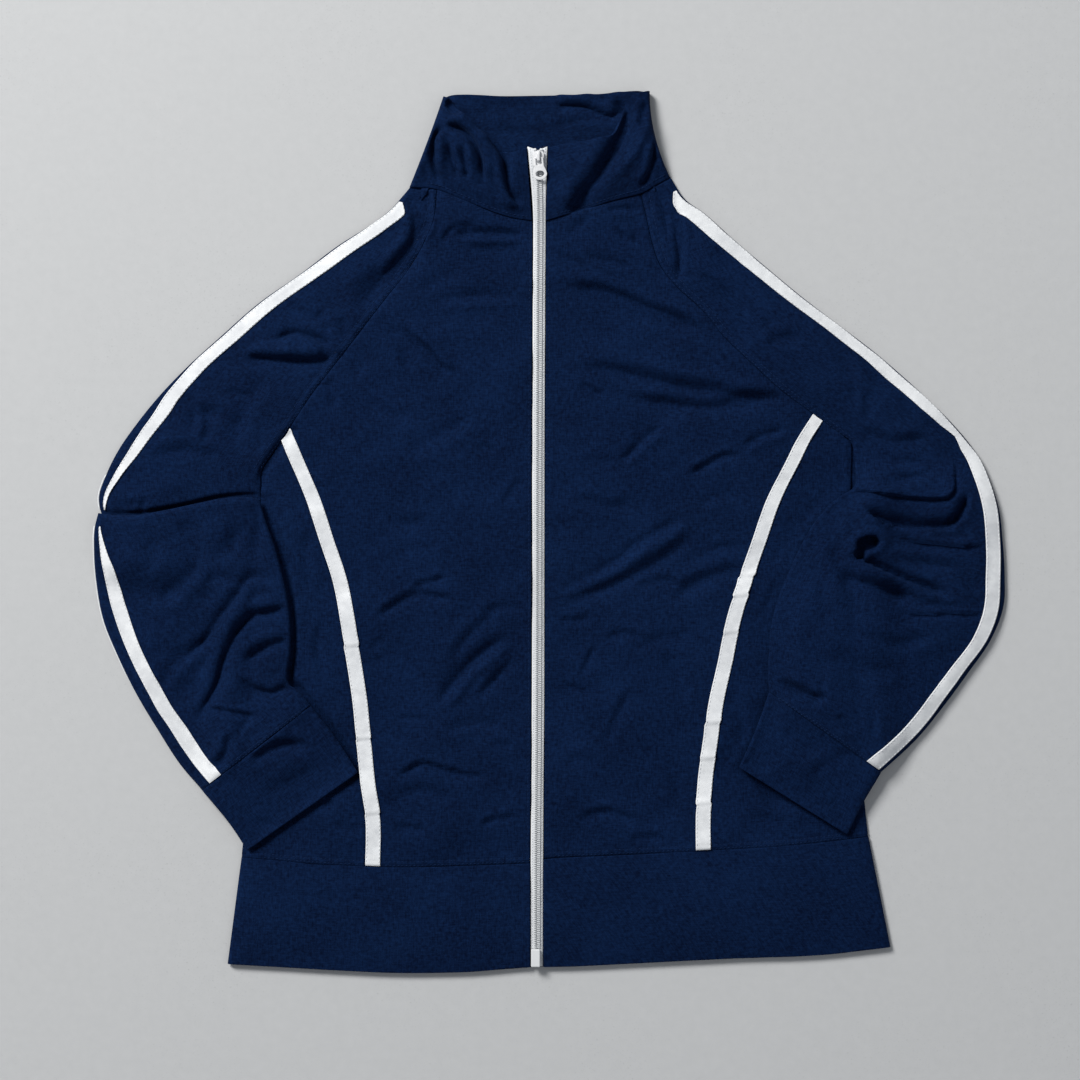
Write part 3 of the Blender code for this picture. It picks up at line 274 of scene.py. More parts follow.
def nearest(points: Array, line: Array) -> tuple[Array, Array, Array]:
    """Where each point lies by a line of straight stretches.

    Args:
        points: Plan points, N by 2.
        line: The line's points.

    Returns:
        Distance, side (1 to the left of the line's way) and share along the line, for each point.
    """
    start, step = line[:-1], np.diff(line, axis=0)
    length = np.linalg.norm(step, axis=1)
    away = points[:, None, :] - start
    along = np.clip((away * step).sum(-1) / length ** 2, 0, 1)
    gap = away - along[..., None] * step
    far = np.linalg.norm(gap, axis=-1)
    which = far.argmin(-1)
    rows = np.arange(len(points))
    cross = step[which, 0] * gap[rows, which, 1] - step[which, 1] * gap[rows, which, 0]
    run = np.concatenate([[0.0], np.cumsum(length)])
    share = (run[which] + along[rows, which] * length[which]) / run[-1]
    return far[rows, which], np.where(cross >= 0, 1.0, -1.0), share


def distance(points: Array, line: Array) -> Array:
    """Distance from points of any shape to a line."""
    flat = points.reshape(-1, 2)
    parts = [nearest(part, line)[0] for part in np.array_split(flat, 1 + len(flat) // 6000)]
    return np.concatenate(parts).reshape(points.shape[:-1])


def inside(points: Array, ring: Array) -> Array:
    """Whether each point is inside a ring."""
    x, y = points[..., 0, None], points[..., 1, None]
    x0, y0 = ring.T
    x1, y1 = np.roll(ring, -1, axis=0).T
    rise = np.where(y1 == y0, 1.0, y1 - y0)
    crossed = ((y0 > y) != (y1 > y)) & (x < x0 + (y - y0) * (x1 - x0) / rise)
    return crossed.sum(-1) % 2 == 1


def within(points: Array, ring: Array) -> Array:
    """How far inside a ring each point is, less than nought outside."""
    flat = points.reshape(-1, 2)
    gap = distance(flat, np.concatenate([ring, ring[:1]]))
    held = np.concatenate([inside(part, ring) for part in np.array_split(flat, 1 + len(flat) // 6000)])
    return np.where(held, gap, -gap).reshape(points.shape[:-1])


@dataclass(frozen=True)
class Swell:
    """Soft unevenness of cloth that has been worn and laid down, from a seeded lattice of heights."""
    seed: int
    size: float
    height: float
    turn: float = 0.0
    stretch: float = 1.0

    def at(self, points: Array) -> Array:
        """Heights at plan points."""
        lattice = np.random.default_rng(self.seed).uniform(-1, 1, (64, 64))
        c, s = math.cos(self.turn), math.sin(self.turn)
        u = (points[..., 0] * c + points[..., 1] * s) / (self.size * self.stretch) + 500
        v = (points[..., 1] * c - points[..., 0] * s) / self.size + 500
        i, j = np.floor(u).astype(int), np.floor(v).astype(int)
        f, g = u - i, v - j
        f, g = f ** 3 * (f * (6 * f - 15) + 10), g ** 3 * (g * (6 * g - 15) + 10)
        a, b = lattice[i % 64, j % 64], lattice[(i + 1) % 64, j % 64]
        d, e = lattice[i % 64, (j + 1) % 64], lattice[(i + 1) % 64, (j + 1) % 64]
        return self.height * ((a * (1 - f) + b * f) * (1 - g) + (d * (1 - f) + e * f) * g)


@dataclass(frozen=True)
class Fold:
    """A crease: a trough along a line, with a ridge beside it.

    lip is the ridge's height as a share of the trough's depth, to the left of the line's way where it
    is above nought and to the right where it is below; curl is how far the ridge leans over the trough.
    """
    line: tuple[Point, ...]
    reach: float
    depth: float
    lip: float = 0.45
    curl: float = 0.0
    taper: float = 0.22

    def move(self, points: Array) -> Array:
        """How far the crease moves each plan point, N by 3."""
        moved = np.zeros((len(points), 3))
        path = Curve(self.line).every(4.0) if len(self.line) > 2 else np.array(self.line, float)
        room = 4.5 * self.reach
        low, high = path.min(0) - room, path.max(0) + room
        near = np.nonzero(((points > low) & (points < high)).all(-1))[0]
        if not len(near):
            return moved
        away, side, share = nearest(points[near], path)
        fade = smooth(share, 0, self.taper) * smooth(1 - share, 0, self.taper)
        run = float(np.linalg.norm(np.diff(path, axis=0), axis=1).sum())
        fade = fade * (0.85 + 0.15 * np.sin(11 * share + self.line[0][0])) * min(0.4 + run / 90.0, 1.0)
        s = away * side / (self.reach * (0.65 + 0.35 * fade))
        sign = 1.0 if self.lip >= 0 else -1.0
        ridge = bell((s - sign * 1.7) / 0.95)
        moved[near, 2] = self.depth * fade * (abs(self.lip) * ridge - np.exp(-np.abs(s) ** 1.5))
        if self.curl:
            whole = path[-1] - path[0]
            normal = unit(np.array([-whole[1], whole[0]]))
            lean = -sign * self.curl * fade * bell((s - sign * 1.2) / 0.7)
            moved[near, :2] = normal * lean[:, None]
        return moved


@dataclass(frozen=True)
class Pit:
    """A pocket of crumpled cloth with a mouth that is narrower than its inside."""
    x: float
    y: float
    wide: float
    tall: float
    turn: float
    depth: float
    curl: float

    def move(self, points: Array) -> Array:
        """How far the pocket moves each plan point, N by 3."""
        c, s = math.cos(math.radians(self.turn)), math.sin(math.radians(self.turn))
        away = points - (self.x, self.y)
        u = (away[:, 0] * c + away[:, 1] * s) / self.wide
        v = (away[:, 1] * c - away[:, 0] * s) / self.tall
        radius = np.hypot(u, v)
        moved = np.zeros((len(points), 3))
        moved[:, 2] = -self.depth * np.exp(-radius ** 4) + 0.22 * self.depth * bell((radius - 1.5) / 0.35)
        lean = self.curl * (0.7 * bell((radius - 0.85) / 0.22) - bell((radius - 1.35) / 0.3))
        moved[:, :2] = unit(away) * lean[:, None]
        return moved


@dataclass(frozen=True)
class Ledge:
    """The edge of a turned-over fold: high to the left of the line's way, with a hollow to its right."""
    line: tuple[Point, ...]
    high: float
    spread: float
    drop: float
    hollow: float
    taper: float = 0.14
    curl: float = 0.0

    def move(self, points: Array) -> Array:
        """How far the edge moves each plan point, N by 3."""
        moved = np.zeros((len(points), 3))
        path = Curve(self.line).every(3.0)
        room = 2.5 * max(self.spread, self.hollow)
        near = np.nonzero(((points > path.min(0) - room) & (points < path.max(0) + room)).all(-1))[0]
        if not len(near):
            return moved
        away, side, share = nearest(points[near], path)
        fade = smooth(share, 0, self.taper) * smooth(1 - share, 0, self.taper)
        over = smooth(away * side, -0.9, 0.9)
        sunk = np.clip(1 - away / (2 * self.hollow), 0, 1) ** 1.7
        moved[near, 2] = fade * (over * self.high * bell(away / self.spread) - (1 - over) * self.drop * sunk)
        if self.curl:
            run = np.linspace(0, 1, len(path))
            foot = np.stack([np.interp(share, run, path[:, k]) for k in range(2)], axis=-1)
            to_hollow = unit(foot - points[near]) * (side * smooth(away, 0.0, 0.6))[:, None]
            moved[near, :2] = to_hollow * (self.curl * fade * over * bell(away / 2.2))[:, None]
        return moved


def creased(points: Array, folds: Sequence[Fold | Pit | Ledge]) -> Array:
    """What all the creases together move each plan point by, in the points' own shape."""
    flat = points.reshape(-1, 2)
    total = np.zeros((len(flat), 3))
    for fold in folds:
        total += fold.move(flat)
    return total.reshape(*points.shape[:-1], 3)


BROAD_FOLDS = [
    Fold(((-111, 272), (-113, 232)), 9.0, 2.6, 0, taper=0.02),
    Fold(((-113, 232), (-135, 200)), 12.0, 2.0, 0, taper=0.02),
    Fold(((104, 262), (108, 205)), 8.0, 2.0, 0, taper=0.02),
    Fold(((28, 198), (120, 172)), 12.0, 1.8, 0, taper=0.25),
    Fold(((249, 70), (250, 40)), 8.0, 2.6, 0, taper=0.02),
]


@dataclass(frozen=True)
class Groove:
    """The groove in the cloth beside a forearm that lies on it: where it changes, and its sizes.

    The left forearm's depth, distance outside the edge and width each have a value for most of the edge, and
    what is added at the cuff's end, beside the cuff, above the forearm's middle and over the elbow.
    """
    cuff_end: Point = (194.0, 212.0)
    cuff_start: Point = (125.0, 140.0)
    cuff_side: Point = (-208.0, -196.0)
    elbow: Point = (229.0, 237.0)
    elbow_fold: Point = (-5.0, 5.0)
    rise: Point = (-90.0, 0.0)
    depth: tuple[float, ...] = (5.0, -3.4, 2.5, 1.6, -0.8)
    out: tuple[float, ...] = (1.6, 0.0, -0.4, 1.2, -1.2)
    width: tuple[float, ...] = (2.9, -0.7, -0.9, 0.9, -0.9)
    right_start: Point = (186.0, 200.0)
    right_sizes: tuple[float, float, float] = (3.2, 1.4, 2.2)
    patch: tuple[float, float, float] = (181.0, 13.0, 2.2)

    def sizes(self, x: Array, y: Array) -> list[Array]:
        """Depth, distance outside the edge and width beside the left forearm, at plan points."""
        at_end = smooth(-y, *self.cuff_end)
        beside_cuff = smooth(-y, *self.cuff_start) * smooth(x, *self.cuff_side) * (1 - at_end)
        over_elbow = smooth(-x, *self.elbow) * smooth(y, *self.elbow_fold)
        above = smooth(y, *self.rise) * (1 - over_elbow)
        shares = (at_end, beside_cuff, above, over_elbow)
        rows = (self.depth, self.out, self.width)
        return [row[0] + sum(more * share for more, share in zip(row[1:], shares)) for row in rows]


GROOVE = Groove()


class Ground:
    """What lies under each layer: the free edges of the jacket, its outlines and their heights."""

    def __init__(self) -> None:
        """Samples the edges once."""
        self.upper = Curve(UPPER_LEFT)
        self.forearm = Curve(FOREARM_LEFT)
        self.right = Curve(SLEEVE_RIGHT)
        self.cuffs = (Curve(CUFF_LEFT), Curve(CUFF_RIGHT))
        left, right = self.upper.every(9.0), self.right.every(9.0)
        self.edges = [
            left[:, :2], right[:, :2], Curve(SIDE_LEFT).every(12), Curve(SIDE_RIGHT).every(12),
            np.array(UNDERARM_LEFT), Curve(HEM_EDGE).every(12),
            np.array([SIDE_LEFT[-1], HEM_EDGE[0]]), np.array([SIDE_RIGHT[-1], HEM_EDGE[-1]]),
        ]
        raglan_right = [row[2:4] for row in SLEEVE_RIGHT[:ARMPIT_RIGHT]][::-1]
        raglan_left = [row[2:4] for row in UPPER_LEFT[:ARMPIT_LEFT]]
        self.body = np.array(SIDE_LEFT + HEM_EDGE + SIDE_RIGHT[::-1] + raglan_right + raglan_left)
        self.arm = np.concatenate([left[:, :2], left[::-1, 2:4]])
        cuffs = [cuff.every(12) for cuff in self.cuffs]
        self.pressed = [np.concatenate([rows[:, :2], rows[::-1, 2:4]]) for rows in cuffs]
        self.covers = []
        for sleeve, cuff, start in ((self.forearm, self.cuffs[0], 0.0), (self.right, self.cuffs[1], 330.0)):
            where = np.linspace(start, sleeve.length, 40)
            rows = np.concatenate([sleeve.at(where), cuff.every(12)])
            ring = np.concatenate([rows[:, :2], rows[::-1, 2:4]])
            if start == 0:
                share = np.linspace(0.95, 0.05, 16)[:, None]
                first = rows[0, :2] * (1 - share) + rows[0, 2:4] * share
                first[:, 1] += np.interp(share[:, 0], *zip(*FOREARM_BOW))
                ring = np.concatenate([ring, first])
            self.covers.append(ring)

    def under_front(self, points: Array) -> Array:
        """Height of the underside of the cloth that lies on top."""
        away = np.min([distance(points, edge) for edge in self.edges], axis=0)
        lofted = CLOTH.low + CLOTH.loft * (1 - np.exp(-away / CLOTH.roll))
        pressed = np.max([smooth(within(points, ring), -4.0, 9.0) for ring in self.pressed], axis=0)
        return np.maximum(lofted + creased(points, BROAD_FOLDS)[..., 2] - CLOTH.press * pressed, CLOTH.low)

    def lying_on(self, points: Array, rings: Sequence[Array]) -> Array:
        """Height of the underside of a sleeve that lies partly on other cloth."""
        depth = np.max([within(points, ring) for ring in rings], axis=0)
        risen = self.under_front(points) + CLOTH.wall + CLOTH.lay
        return risen * smooth(depth, -CLOTH.ramp[0], -CLOTH.ramp[1])

    def crevice(self, points: Array) -> Array:
        """How the cloth sinks beside the edge of a sleeve that lies on it."""
        x, y = points[..., 0], points[..., 1]
        depth, out, width = GROOVE.sizes(x, y)
        left = depth * bell((within(points, self.covers[0]) + out) / width)
        middle, reach, more = GROOVE.patch
        patch = 1 + more * bell((x - middle) / reach)
        depth, out, width = GROOVE.right_sizes
        depth = depth * smooth(-y, *GROOVE.right_start) * patch
        right = depth * bell((within(points, self.covers[1]) + out) / (width * patch))
        return -left - right

    def bare(self, points: Array, fade: float = 10.0) -> Array:
        """1 where nothing lies on the body, falling to 0 under the forearms and the cuffs."""
        depth = np.max([within(points, ring) for ring in self.covers], axis=0)
        return 1 - smooth(depth, -fade, 0.0)


GROUND = Ground()


def hem_seam() -> Curve:
    """The hem band's seam, which steps at the zip."""
    return Curve(HEM_SEAM, corners=(4, 5))


def zip_x(y: Array) -> Array:
    """The x of the middle of the zip."""
    return Curve(ZIP_LINE).x_at(y)


@dataclass(frozen=True)
class Seam:
    """A sewn seam: how the cloth sinks at it, and its rows of topstitching."""
    line: Array
    rows: tuple[float, ...] = ()
    sink: float = 0.4
    reach: float = 1.3

    def shape(self, away: Array) -> Array:
        """Height that the seam adds at distances from it."""
        height = -self.sink * bell(away / self.reach)
        for row in self.rows:
            height = height - 0.42 * bell((away - row) / 0.85)
        if self.rows:
            height = height + 0.3 * bell((away - self.rows[-1] * 0.5) / (self.rows[-1] * 0.35 + 0.6))
        return height


# ---------------------------------------------------------------- meshes

FINE = (0.8, 1.6, 2.4, 3.2, 4.5, 6.0, 7.5, 9.5, 12.0)


def steps(length: float, step: float, first: Sequence[float] = (), last: Sequence[float] = ()) -> Array:
    """Distances from one end of a length to the other.

    Args:
        length: The length.
        step: Longest step between the ends' own distances.
        first: Distances from the start.
        last: Distances from the end.

    Returns:
        All distances, in order.
    """
    low = first[-1] if len(first) else 0.0
    high = length - (last[-1] if len(last) else 0.0)
    middle = np.linspace(low, high, max(2, int((high - low) / step) + 2))
    return np.concatenate([first[:-1], middle, [length - away for away in list(last)[:-1][::-1]]])


def normals(grid: Array) -> Array:
    """Upward or outward normals of a grid, its first columns being on top."""
    down = np.gradient(grid, axis=0)
    across = np.gradient(grid, axis=1)
    found = unit(np.cross(across, down))
    quarter = max(1, grid.shape[1] // 4)
    return found if found[:, :quarter, 2].sum() > 0 else -found


def lay_flat(grid: Array) -> Array:
    """Distances across and along a grid in millimetres, for the weave to follow."""
    across = np.linalg.norm(np.diff(grid, axis=1), axis=-1)
    along = np.linalg.norm(np.diff(grid, axis=0), axis=-1).mean(1)
    u = np.concatenate([np.zeros((len(grid), 1)), np.cumsum(across, axis=1)], axis=1)
    v = np.concatenate([[0.0], np.cumsum(along)])
    return np.stack([u, np.broadcast_to(v[:, None], u.shape)], axis=-1)


def cloth_mesh(name: str, outer: Array, thick: float, weave: Array | None = None,
               shut: Array | None = None, shut_first: bool = False, rim: int = 3) -> Mesh:
    """A wall of cloth behind a grid of points, with rounded edges.

    Args:
        name: The mesh's name.
        outer: The cloth's outer side, rows by columns, in millimetres.
        thick: The cloth's thickness.
        weave: Distances across and along in millimetres; measured from the grid where none are given.
        shut: For each row, 1 where the first and last columns are one folded edge.
        shut_first: Whether the first row is a folded edge.
        rim: Points round each rounded edge.

    Returns:
        The mesh, in metres.
    """
    rows, columns = outer.shape[:2]
    weave = lay_flat(outer) if weave is None else weave
    normal = normals(outer)
    inner = outer - normal * thick
    ring = [(0, c) for c in range(columns)] + [(r, columns - 1) for r in range(1, rows)]
    ring += [(rows - 1, c) for c in range(columns - 2, -1, -1)] + [(r, 0) for r in range(rows - 2, 0, -1)]
    r, c = np.array(ring).T
    out = np.zeros((len(ring), 3))
    borders = ((c == 0, (0, 1)), (c == columns - 1, (0, -1)), (r == 0, (1, 0)), (r == rows - 1, (-1, 0)))
    for hit, inward in borders:
        out[hit] += unit(outer[r[hit], c[hit]] - outer[r[hit] + inward[0], c[hit] + inward[1]])
    edge_normal = normal[r, c]
    out = unit(out - (out * edge_normal).sum(-1, keepdims=True) * edge_normal)
    bulge = np.full(len(ring), CLOTH.rim_out)
    if shut is not None:
        sides = (c == 0) | (c == columns - 1)
        bulge[sides] *= 1 - np.asarray(shut)[r[sides]]
    if shut_first:
        bulge[r == 0] = 0
    middle = (outer[r, c] + inner[r, c]) / 2
    bands = []
    for turn in np.linspace(0, math.pi, rim + 2)[1:-1]:
        bands.append(middle + thick / 2 * (math.cos(turn) * edge_normal
                                           + (math.sin(turn) * bulge)[:, None] * out))
    count = rows * columns
    points = np.concatenate([outer.reshape(-1, 3), inner.reshape(-1, 3), *bands]) * MM
    flat = weave.reshape(-1, 2)
    uv = np.concatenate([flat, flat] + [weave[r, c]] * rim)
    index = np.arange(count).reshape(rows, columns)
    a, b, d, e = index[:-1, :-1], index[:-1, 1:], index[1:, 1:], index[1:, :-1]
    top = np.stack([a, b, d, e], axis=-1).reshape(-1, 4)
    raw = np.cross(np.gradient(outer, axis=1), np.gradient(outer, axis=0))
    if (raw * normal).sum() < 0:
        top = top[:, ::-1]
    faces = [top, top[:, ::-1] + count]
    start = index[r, c]
    chain = [start] + [2 * count + k * len(ring) + np.arange(len(ring)) for k in range(rim)] + [start + count]
    for one, two in zip(chain, chain[1:]):
        faces.append(np.stack([one, two, np.roll(two, -1), np.roll(one, -1)], axis=-1))
    mesh = bpy.data.meshes.new(name)
    mesh.from_pydata(points.tolist(), [], np.concatenate(faces).tolist())
    layer = mesh.uv_layers.new(name="weave")
    corner = np.zeros(len(mesh.loops), int)
    mesh.loops.foreach_get("vertex_index", corner)
    layer.data.foreach_set("uv", uv[corner].ravel())
    shape = bmesh.new()
    shape.from_mesh(mesh)
    bmesh.ops.remove_doubles(shape, verts=shape.verts, dist=0.02 * MM)
    bmesh.ops.recalc_face_normals(shape, faces=shape.faces)
    shape.to_mesh(mesh)
    shape.free()
    mesh.shade_smooth()
    return mesh


def piece(name: str, mesh: Mesh, material: Material,
          nodes: Sequence[str] = (), body: str = GARMENT) -> bpy.types.Object:
    """Puts a mesh on the jacket.

    Args:
        name: The piece's name.
        mesh: Its mesh, in metres, in place.
        material: Its finish.
        nodes: The solids that it stands for.
        body: The body that it rides on.

    Returns:
        The piece.
    """
    mesh.materials.clear()
    mesh.materials.append(material)
    made = bpy.data.objects.new(name, mesh)
    bpy.context.scene.collection.objects.link(made)
    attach(made, body)
    if nodes:
        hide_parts(*nodes)
    LOG.info("%s: %d faces, for %s", name, len(mesh.polygons), ", ".join(nodes) or "detail")
    return made


def declare(made: bpy.types.Object, grid: Array) -> None:
    """States a sheet's cut: its greatest width and length, and its flat area."""
    across = np.linalg.norm(np.diff(grid, axis=1), axis=-1)
    along = np.linalg.norm(np.diff(grid, axis=0), axis=-1)
    width, length = max(across.sum(1).max() * MM, 0.0101), along.sum(0).max() * MM
    one = np.linalg.norm(np.cross(grid[:-1, 1:] - grid[:-1, :-1], grid[1:, :-1] - grid[:-1, :-1]), axis=-1)
    two = np.linalg.norm(np.cross(grid[:-1, 1:] - grid[1:, 1:], grid[1:, :-1] - grid[1:, 1:]), axis=-1)
    area = float((one + two).sum() / 2) * MM * MM
    area = min(max(area, 0.301 * width * length), width * length)
    LOG.info("%s: cut %.0f by %.0f mm, %.4f square metres", made.name, width / MM, length / MM, area)


def ribbon(grid: Array, lift: float, thick: float) -> Array:
    """The outer side of a flat piece that lies on a grid."""
    return grid + normals(grid) * (lift + thick)


@dataclass(frozen=True)
class Stitching:
    """Rows of lockstitch, each stitch a short rounded thread that dips into the cloth at its ends."""
    length: float = 2.5
    pitch: float = 3.3
    radius: float = 0.3
    sides: int = 5

    def thread(self, strips: Sequence[Array]) -> tuple[Array, Array]:
        """Points and faces of the stitches along the middle columns of narrow grids."""
        points, faces = [], []
        section = np.array([(-0.5, -0.22, 0.25), (-0.3, 0.12, 0.85), (0.0, 0.24, 1.0), (0.3, 0.12, 0.85),
                            (0.5, -0.22, 0.25)])
        turns = np.arange(self.sides) * 2 * math.pi / self.sides
        for strip in strips:
            line, up = strip[:, 1], normals(strip)[:, 1]
            run = np.concatenate([[0.0], np.cumsum(np.linalg.norm(np.diff(line, axis=0), axis=-1))])
            for where in np.arange(self.pitch * 0.5, run[-1] - self.pitch * 0.5, self.pitch):
                ends = [where - self.length / 2, where, where + self.length / 2]
                a, middle, b = (np.array([np.interp(e, run, line[:, k]) for k in range(3)]) for e in ends)
                n = unit(np.array([np.interp(where, run, up[:, k]) for k in range(3)]))
                way = unit(b - a)
                side = np.cross(way, n)
                base = len(points)
                for along, high, wide in section:
                    centre = middle + way * along * self.length + n * high
                    for turn in turns:
                        spoke = math.cos(turn) * side + math.sin(turn) * n
                        points.append(centre + self.radius * wide * spoke)
                for k in range(len(section) - 1):
                    for s in range(self.sides):
                        p, q = base + k * self.sides + s, base + k * self.sides + (s + 1) % self.sides
                        faces.append((p, q, q + self.sides, p + self.sides))
        return np.array(points) * MM, np.array(faces)

    def sew(self, name: str, strips: Sequence[Array], material: Material) -> None:
        """Makes one piece of the stitches along narrow grids of three columns."""
        points, faces = self.thread(strips)
        mesh = bpy.data.meshes.new(name)
        mesh.from_pydata(points.tolist(), [], faces.tolist())
        mesh.shade_smooth()
        piece(name, mesh, material)


# ---------------------------------------------------------------- finishes

class Graph:
    """Adds nodes to one tree and joins them."""

    def __init__(self, tree: Tree) -> None:
        """Starts on an empty tree."""
        self.tree = tree
        tree.nodes.clear()

    def add(self, kind: str, inputs: dict | None = None, **settings: object) -> Node:
        """A node with its settings and inputs, which are values or sockets."""
        node = self.tree.nodes.new(kind)
        node.location = (220 * len(self.tree.nodes), 0)
        for key, value in settings.items():
            setattr(node, key, value)
        for key, value in (inputs or {}).items():
            self.feed(node.inputs[key], value)
        return node

    def feed(self, socket: Socket, value: object) -> None:
        """Sets an input, or joins it to another node's output."""
        if isinstance(value, Socket):
            self.tree.links.new(value, socket)
        else:
            socket.default_value = value

    def math(self, operation: str, one: object, two: object = 0.0, three: object = 0.0) -> Socket:
        """The result of a sum on two or three numbers."""
        return self.add("ShaderNodeMath", {0: one, 1: two, 2: three}, operation=operation).outputs[0]

    def ramp(self, value: object, low: float, high: float) -> Socket:
        """A number that goes from 0 to 1 as a value goes from low to high."""
        return self.add("ShaderNodeMapRange", {"Value": value, "From Min": low, "From Max": high}).outputs[0]

    def noise(self, vector: object, scale: object, detail: float = 3.0) -> Socket:
        """A noise's value."""
        node = self.add("ShaderNodeTexNoise", {"Vector": vector, "Scale": scale, "Detail": detail})
        return node.outputs["Fac"]

    def between(self, factor: object, low: object, high: object) -> Socket:
        """A number between two, by a factor."""
        node = self.add("ShaderNodeMix", {0: factor}, data_type="FLOAT")
        self.feed(node.inputs[2], low)
        self.feed(node.inputs[3], high)
        return node.outputs[0]

    def tint(self, factor: object, low: object, high: object) -> Socket:
        """A colour between two, by a factor."""
        node = self.add("ShaderNodeMix", {0: factor}, data_type="RGBA")
        self.feed(node.inputs[6], low)
        self.feed(node.inputs[7], high)
        return node.outputs[2]


def group(name: str, inputs: dict[str, tuple[str, float]], outputs: Sequence[str],
          build: Callable[[Graph, Node], dict]) -> Tree:
    """A shader node group, built once.

    Args:
        name: The group's name.
        inputs: Socket kind and default of each named input.
        outputs: Named values that it puts out.
        build: Makes its nodes and returns a socket for each output.

    Returns:
        The group's tree.
    """
    found = bpy.data.node_groups.get(name)
    if found:
        return found
    tree = bpy.data.node_groups.new(name, "ShaderNodeTree")
    for key, (kind, value) in inputs.items():
        socket = tree.interface.new_socket(key, in_out="INPUT", socket_type=kind)
        if kind == "NodeSocketFloat":
            socket.default_value = value
    for key in outputs:
        tree.interface.new_socket(key, in_out="OUTPUT", socket_type="NodeSocketFloat")
    graph = Graph(tree)
    start = graph.add("NodeGroupInput")
    made = build(graph, start)
    end = graph.add("NodeGroupOutput")
    for key, socket in made.items():
        graph.feed(end.inputs[key], socket)
    return tree


def knit_face() -> Tree:
    """Columns of knitted loops: rounded wales, with a slanted loop in each course."""
    def build(graph: Graph, start: Node) -> dict:
        """Makes the loops from distances across and along the cloth."""
        ways = start.outputs
        stray = graph.noise(ways["Weave"], 0.9, 2.0)
        stray = graph.math("MULTIPLY", graph.math("SUBTRACT", stray, 0.5), ways["Stray"])
        parts = graph.add("ShaderNodeSeparateXYZ", {0: ways["Weave"]})
        u = graph.math("ADD", graph.math("DIVIDE", parts.outputs["X"], ways["Wale"]), stray)
        v = graph.math("ADD", graph.math("DIVIDE", parts.outputs["Y"], ways["Course"]), stray)
        across = graph.math("ABSOLUTE", graph.math("SUBTRACT", graph.math("FRACT", u), 0.5))
        across = graph.math("MULTIPLY", across, 2.0)
        wale = graph.math("SUBTRACT", 1.0, graph.math("MULTIPLY", across, across))
        slant = graph.math("ADD", v, graph.math("MULTIPLY", across, 0.45))
        loop = graph.math("SINE", graph.math("MULTIPLY", slant, 2 * math.pi))
        loop = graph.math("MULTIPLY_ADD", loop, 0.5, 0.5)
        height = graph.math("ADD", graph.math("MULTIPLY", wale, 0.6), graph.math("MULTIPLY", loop, 0.4))
        return {"Height": height, "Shade": graph.math("MULTIPLY", wale, loop)}

    return group("knit_face", {"Weave": ("NodeSocketVector", 0), "Wale": ("NodeSocketFloat", 0.8),
                               "Course": ("NodeSocketFloat", 0.7), "Stray": ("NodeSocketFloat", 0.9)},
                 ("Height", "Shade"), build)


def woven_ribs() -> Tree:
    """A flat woven tape: fine ribs across it and a firmer edge down each side."""
    def build(graph: Graph, start: Node) -> dict:
        """Makes the ribs from distances across and along the tape."""
        ways = start.outputs
        parts = graph.add("ShaderNodeSeparateXYZ", {0: ways["Weave"]})
        stray = graph.noise(ways["Weave"], 1.1, 2.0)
        v = graph.math("ADD", graph.math("DIVIDE", parts.outputs["Y"], ways["Pitch"]),
                       graph.math("MULTIPLY", stray, 0.6))
        rib = graph.math("ABSOLUTE", graph.math("SINE", graph.math("MULTIPLY", v, math.pi)))
        u = graph.math("DIVIDE", parts.outputs["X"], ways["Width"])
        side = graph.math("ABSOLUTE", graph.math("MULTIPLY_ADD", u, 2.0, -1.0))
        edge = graph.ramp(side, 0.84, 0.9)
        yarn = graph.math("ABSOLUTE", graph.math("SINE", graph.math("MULTIPLY", parts.outputs["X"], 4.2)))
        height = graph.math("ADD", graph.math("MULTIPLY", rib, 0.7), graph.math("MULTIPLY", yarn, 0.3))
        return {"Height": graph.math("ADD", height, graph.math("MULTIPLY", edge, 0.5)), "Edge": edge}

    return group("woven_ribs", {"Weave": ("NodeSocketVector", 0), "Pitch": ("NodeSocketFloat", 0.8),
                                "Width": ("NodeSocketFloat", 12.0)}, ("Height", "Edge"), build)


def tone_drift() -> Tree:
    """Slow and quick changes of tone over a surface, about one half."""
    def build(graph: Graph, start: Node) -> dict:
        """Adds a slow noise to a quick one."""
        ways = start.outputs
        slow = graph.noise(ways["Vector"], graph.math("DIVIDE", 1000.0, ways["Slow"]), 2.0)
        quick = graph.noise(ways["Vector"], graph.math("DIVIDE", 1000.0, ways["Quick"]), 4.0)
        return {"Value": graph.between(ways["Share"], slow, quick)}

    return group("tone_drift", {"Vector": ("NodeSocketVector", 0), "Slow": ("NodeSocketFloat", 70.0),
                                "Quick": ("NodeSocketFloat", 3.0), "Share": ("NodeSocketFloat", 0.5)},
                 ("Value",), build)


def yarn_streaks() -> Tree:
    """Short streaks of lighter and darker yarn, along the courses and along the wales."""
    def build(graph: Graph, start: Node) -> dict:
        """Adds noises that are drawn out one way each."""
        ways = start.outputs
        parts = graph.add("ShaderNodeSeparateXYZ", {0: ways["Weave"]})
        found = []
        for long, short in (("X", "Y"), ("Y", "X")):
            slow = graph.math("DIVIDE", parts.outputs[long], ways["Long"])
            quick = graph.math("DIVIDE", parts.outputs[short], ways["Short"])
            place = graph.add("ShaderNodeCombineXYZ", {0: slow, 1: quick, 2: 0.0}).outputs[0]
            found.append(graph.noise(place, 1.0, 2.0))
        return {"Value": graph.math("MULTIPLY", graph.math("ADD", *found), 0.5)}

    return group("yarn_streaks", {"Weave": ("NodeSocketVector", 0), "Long": ("NodeSocketFloat", 7.0),
                                  "Short": ("NodeSocketFloat", 1.1)}, ("Value",), build)


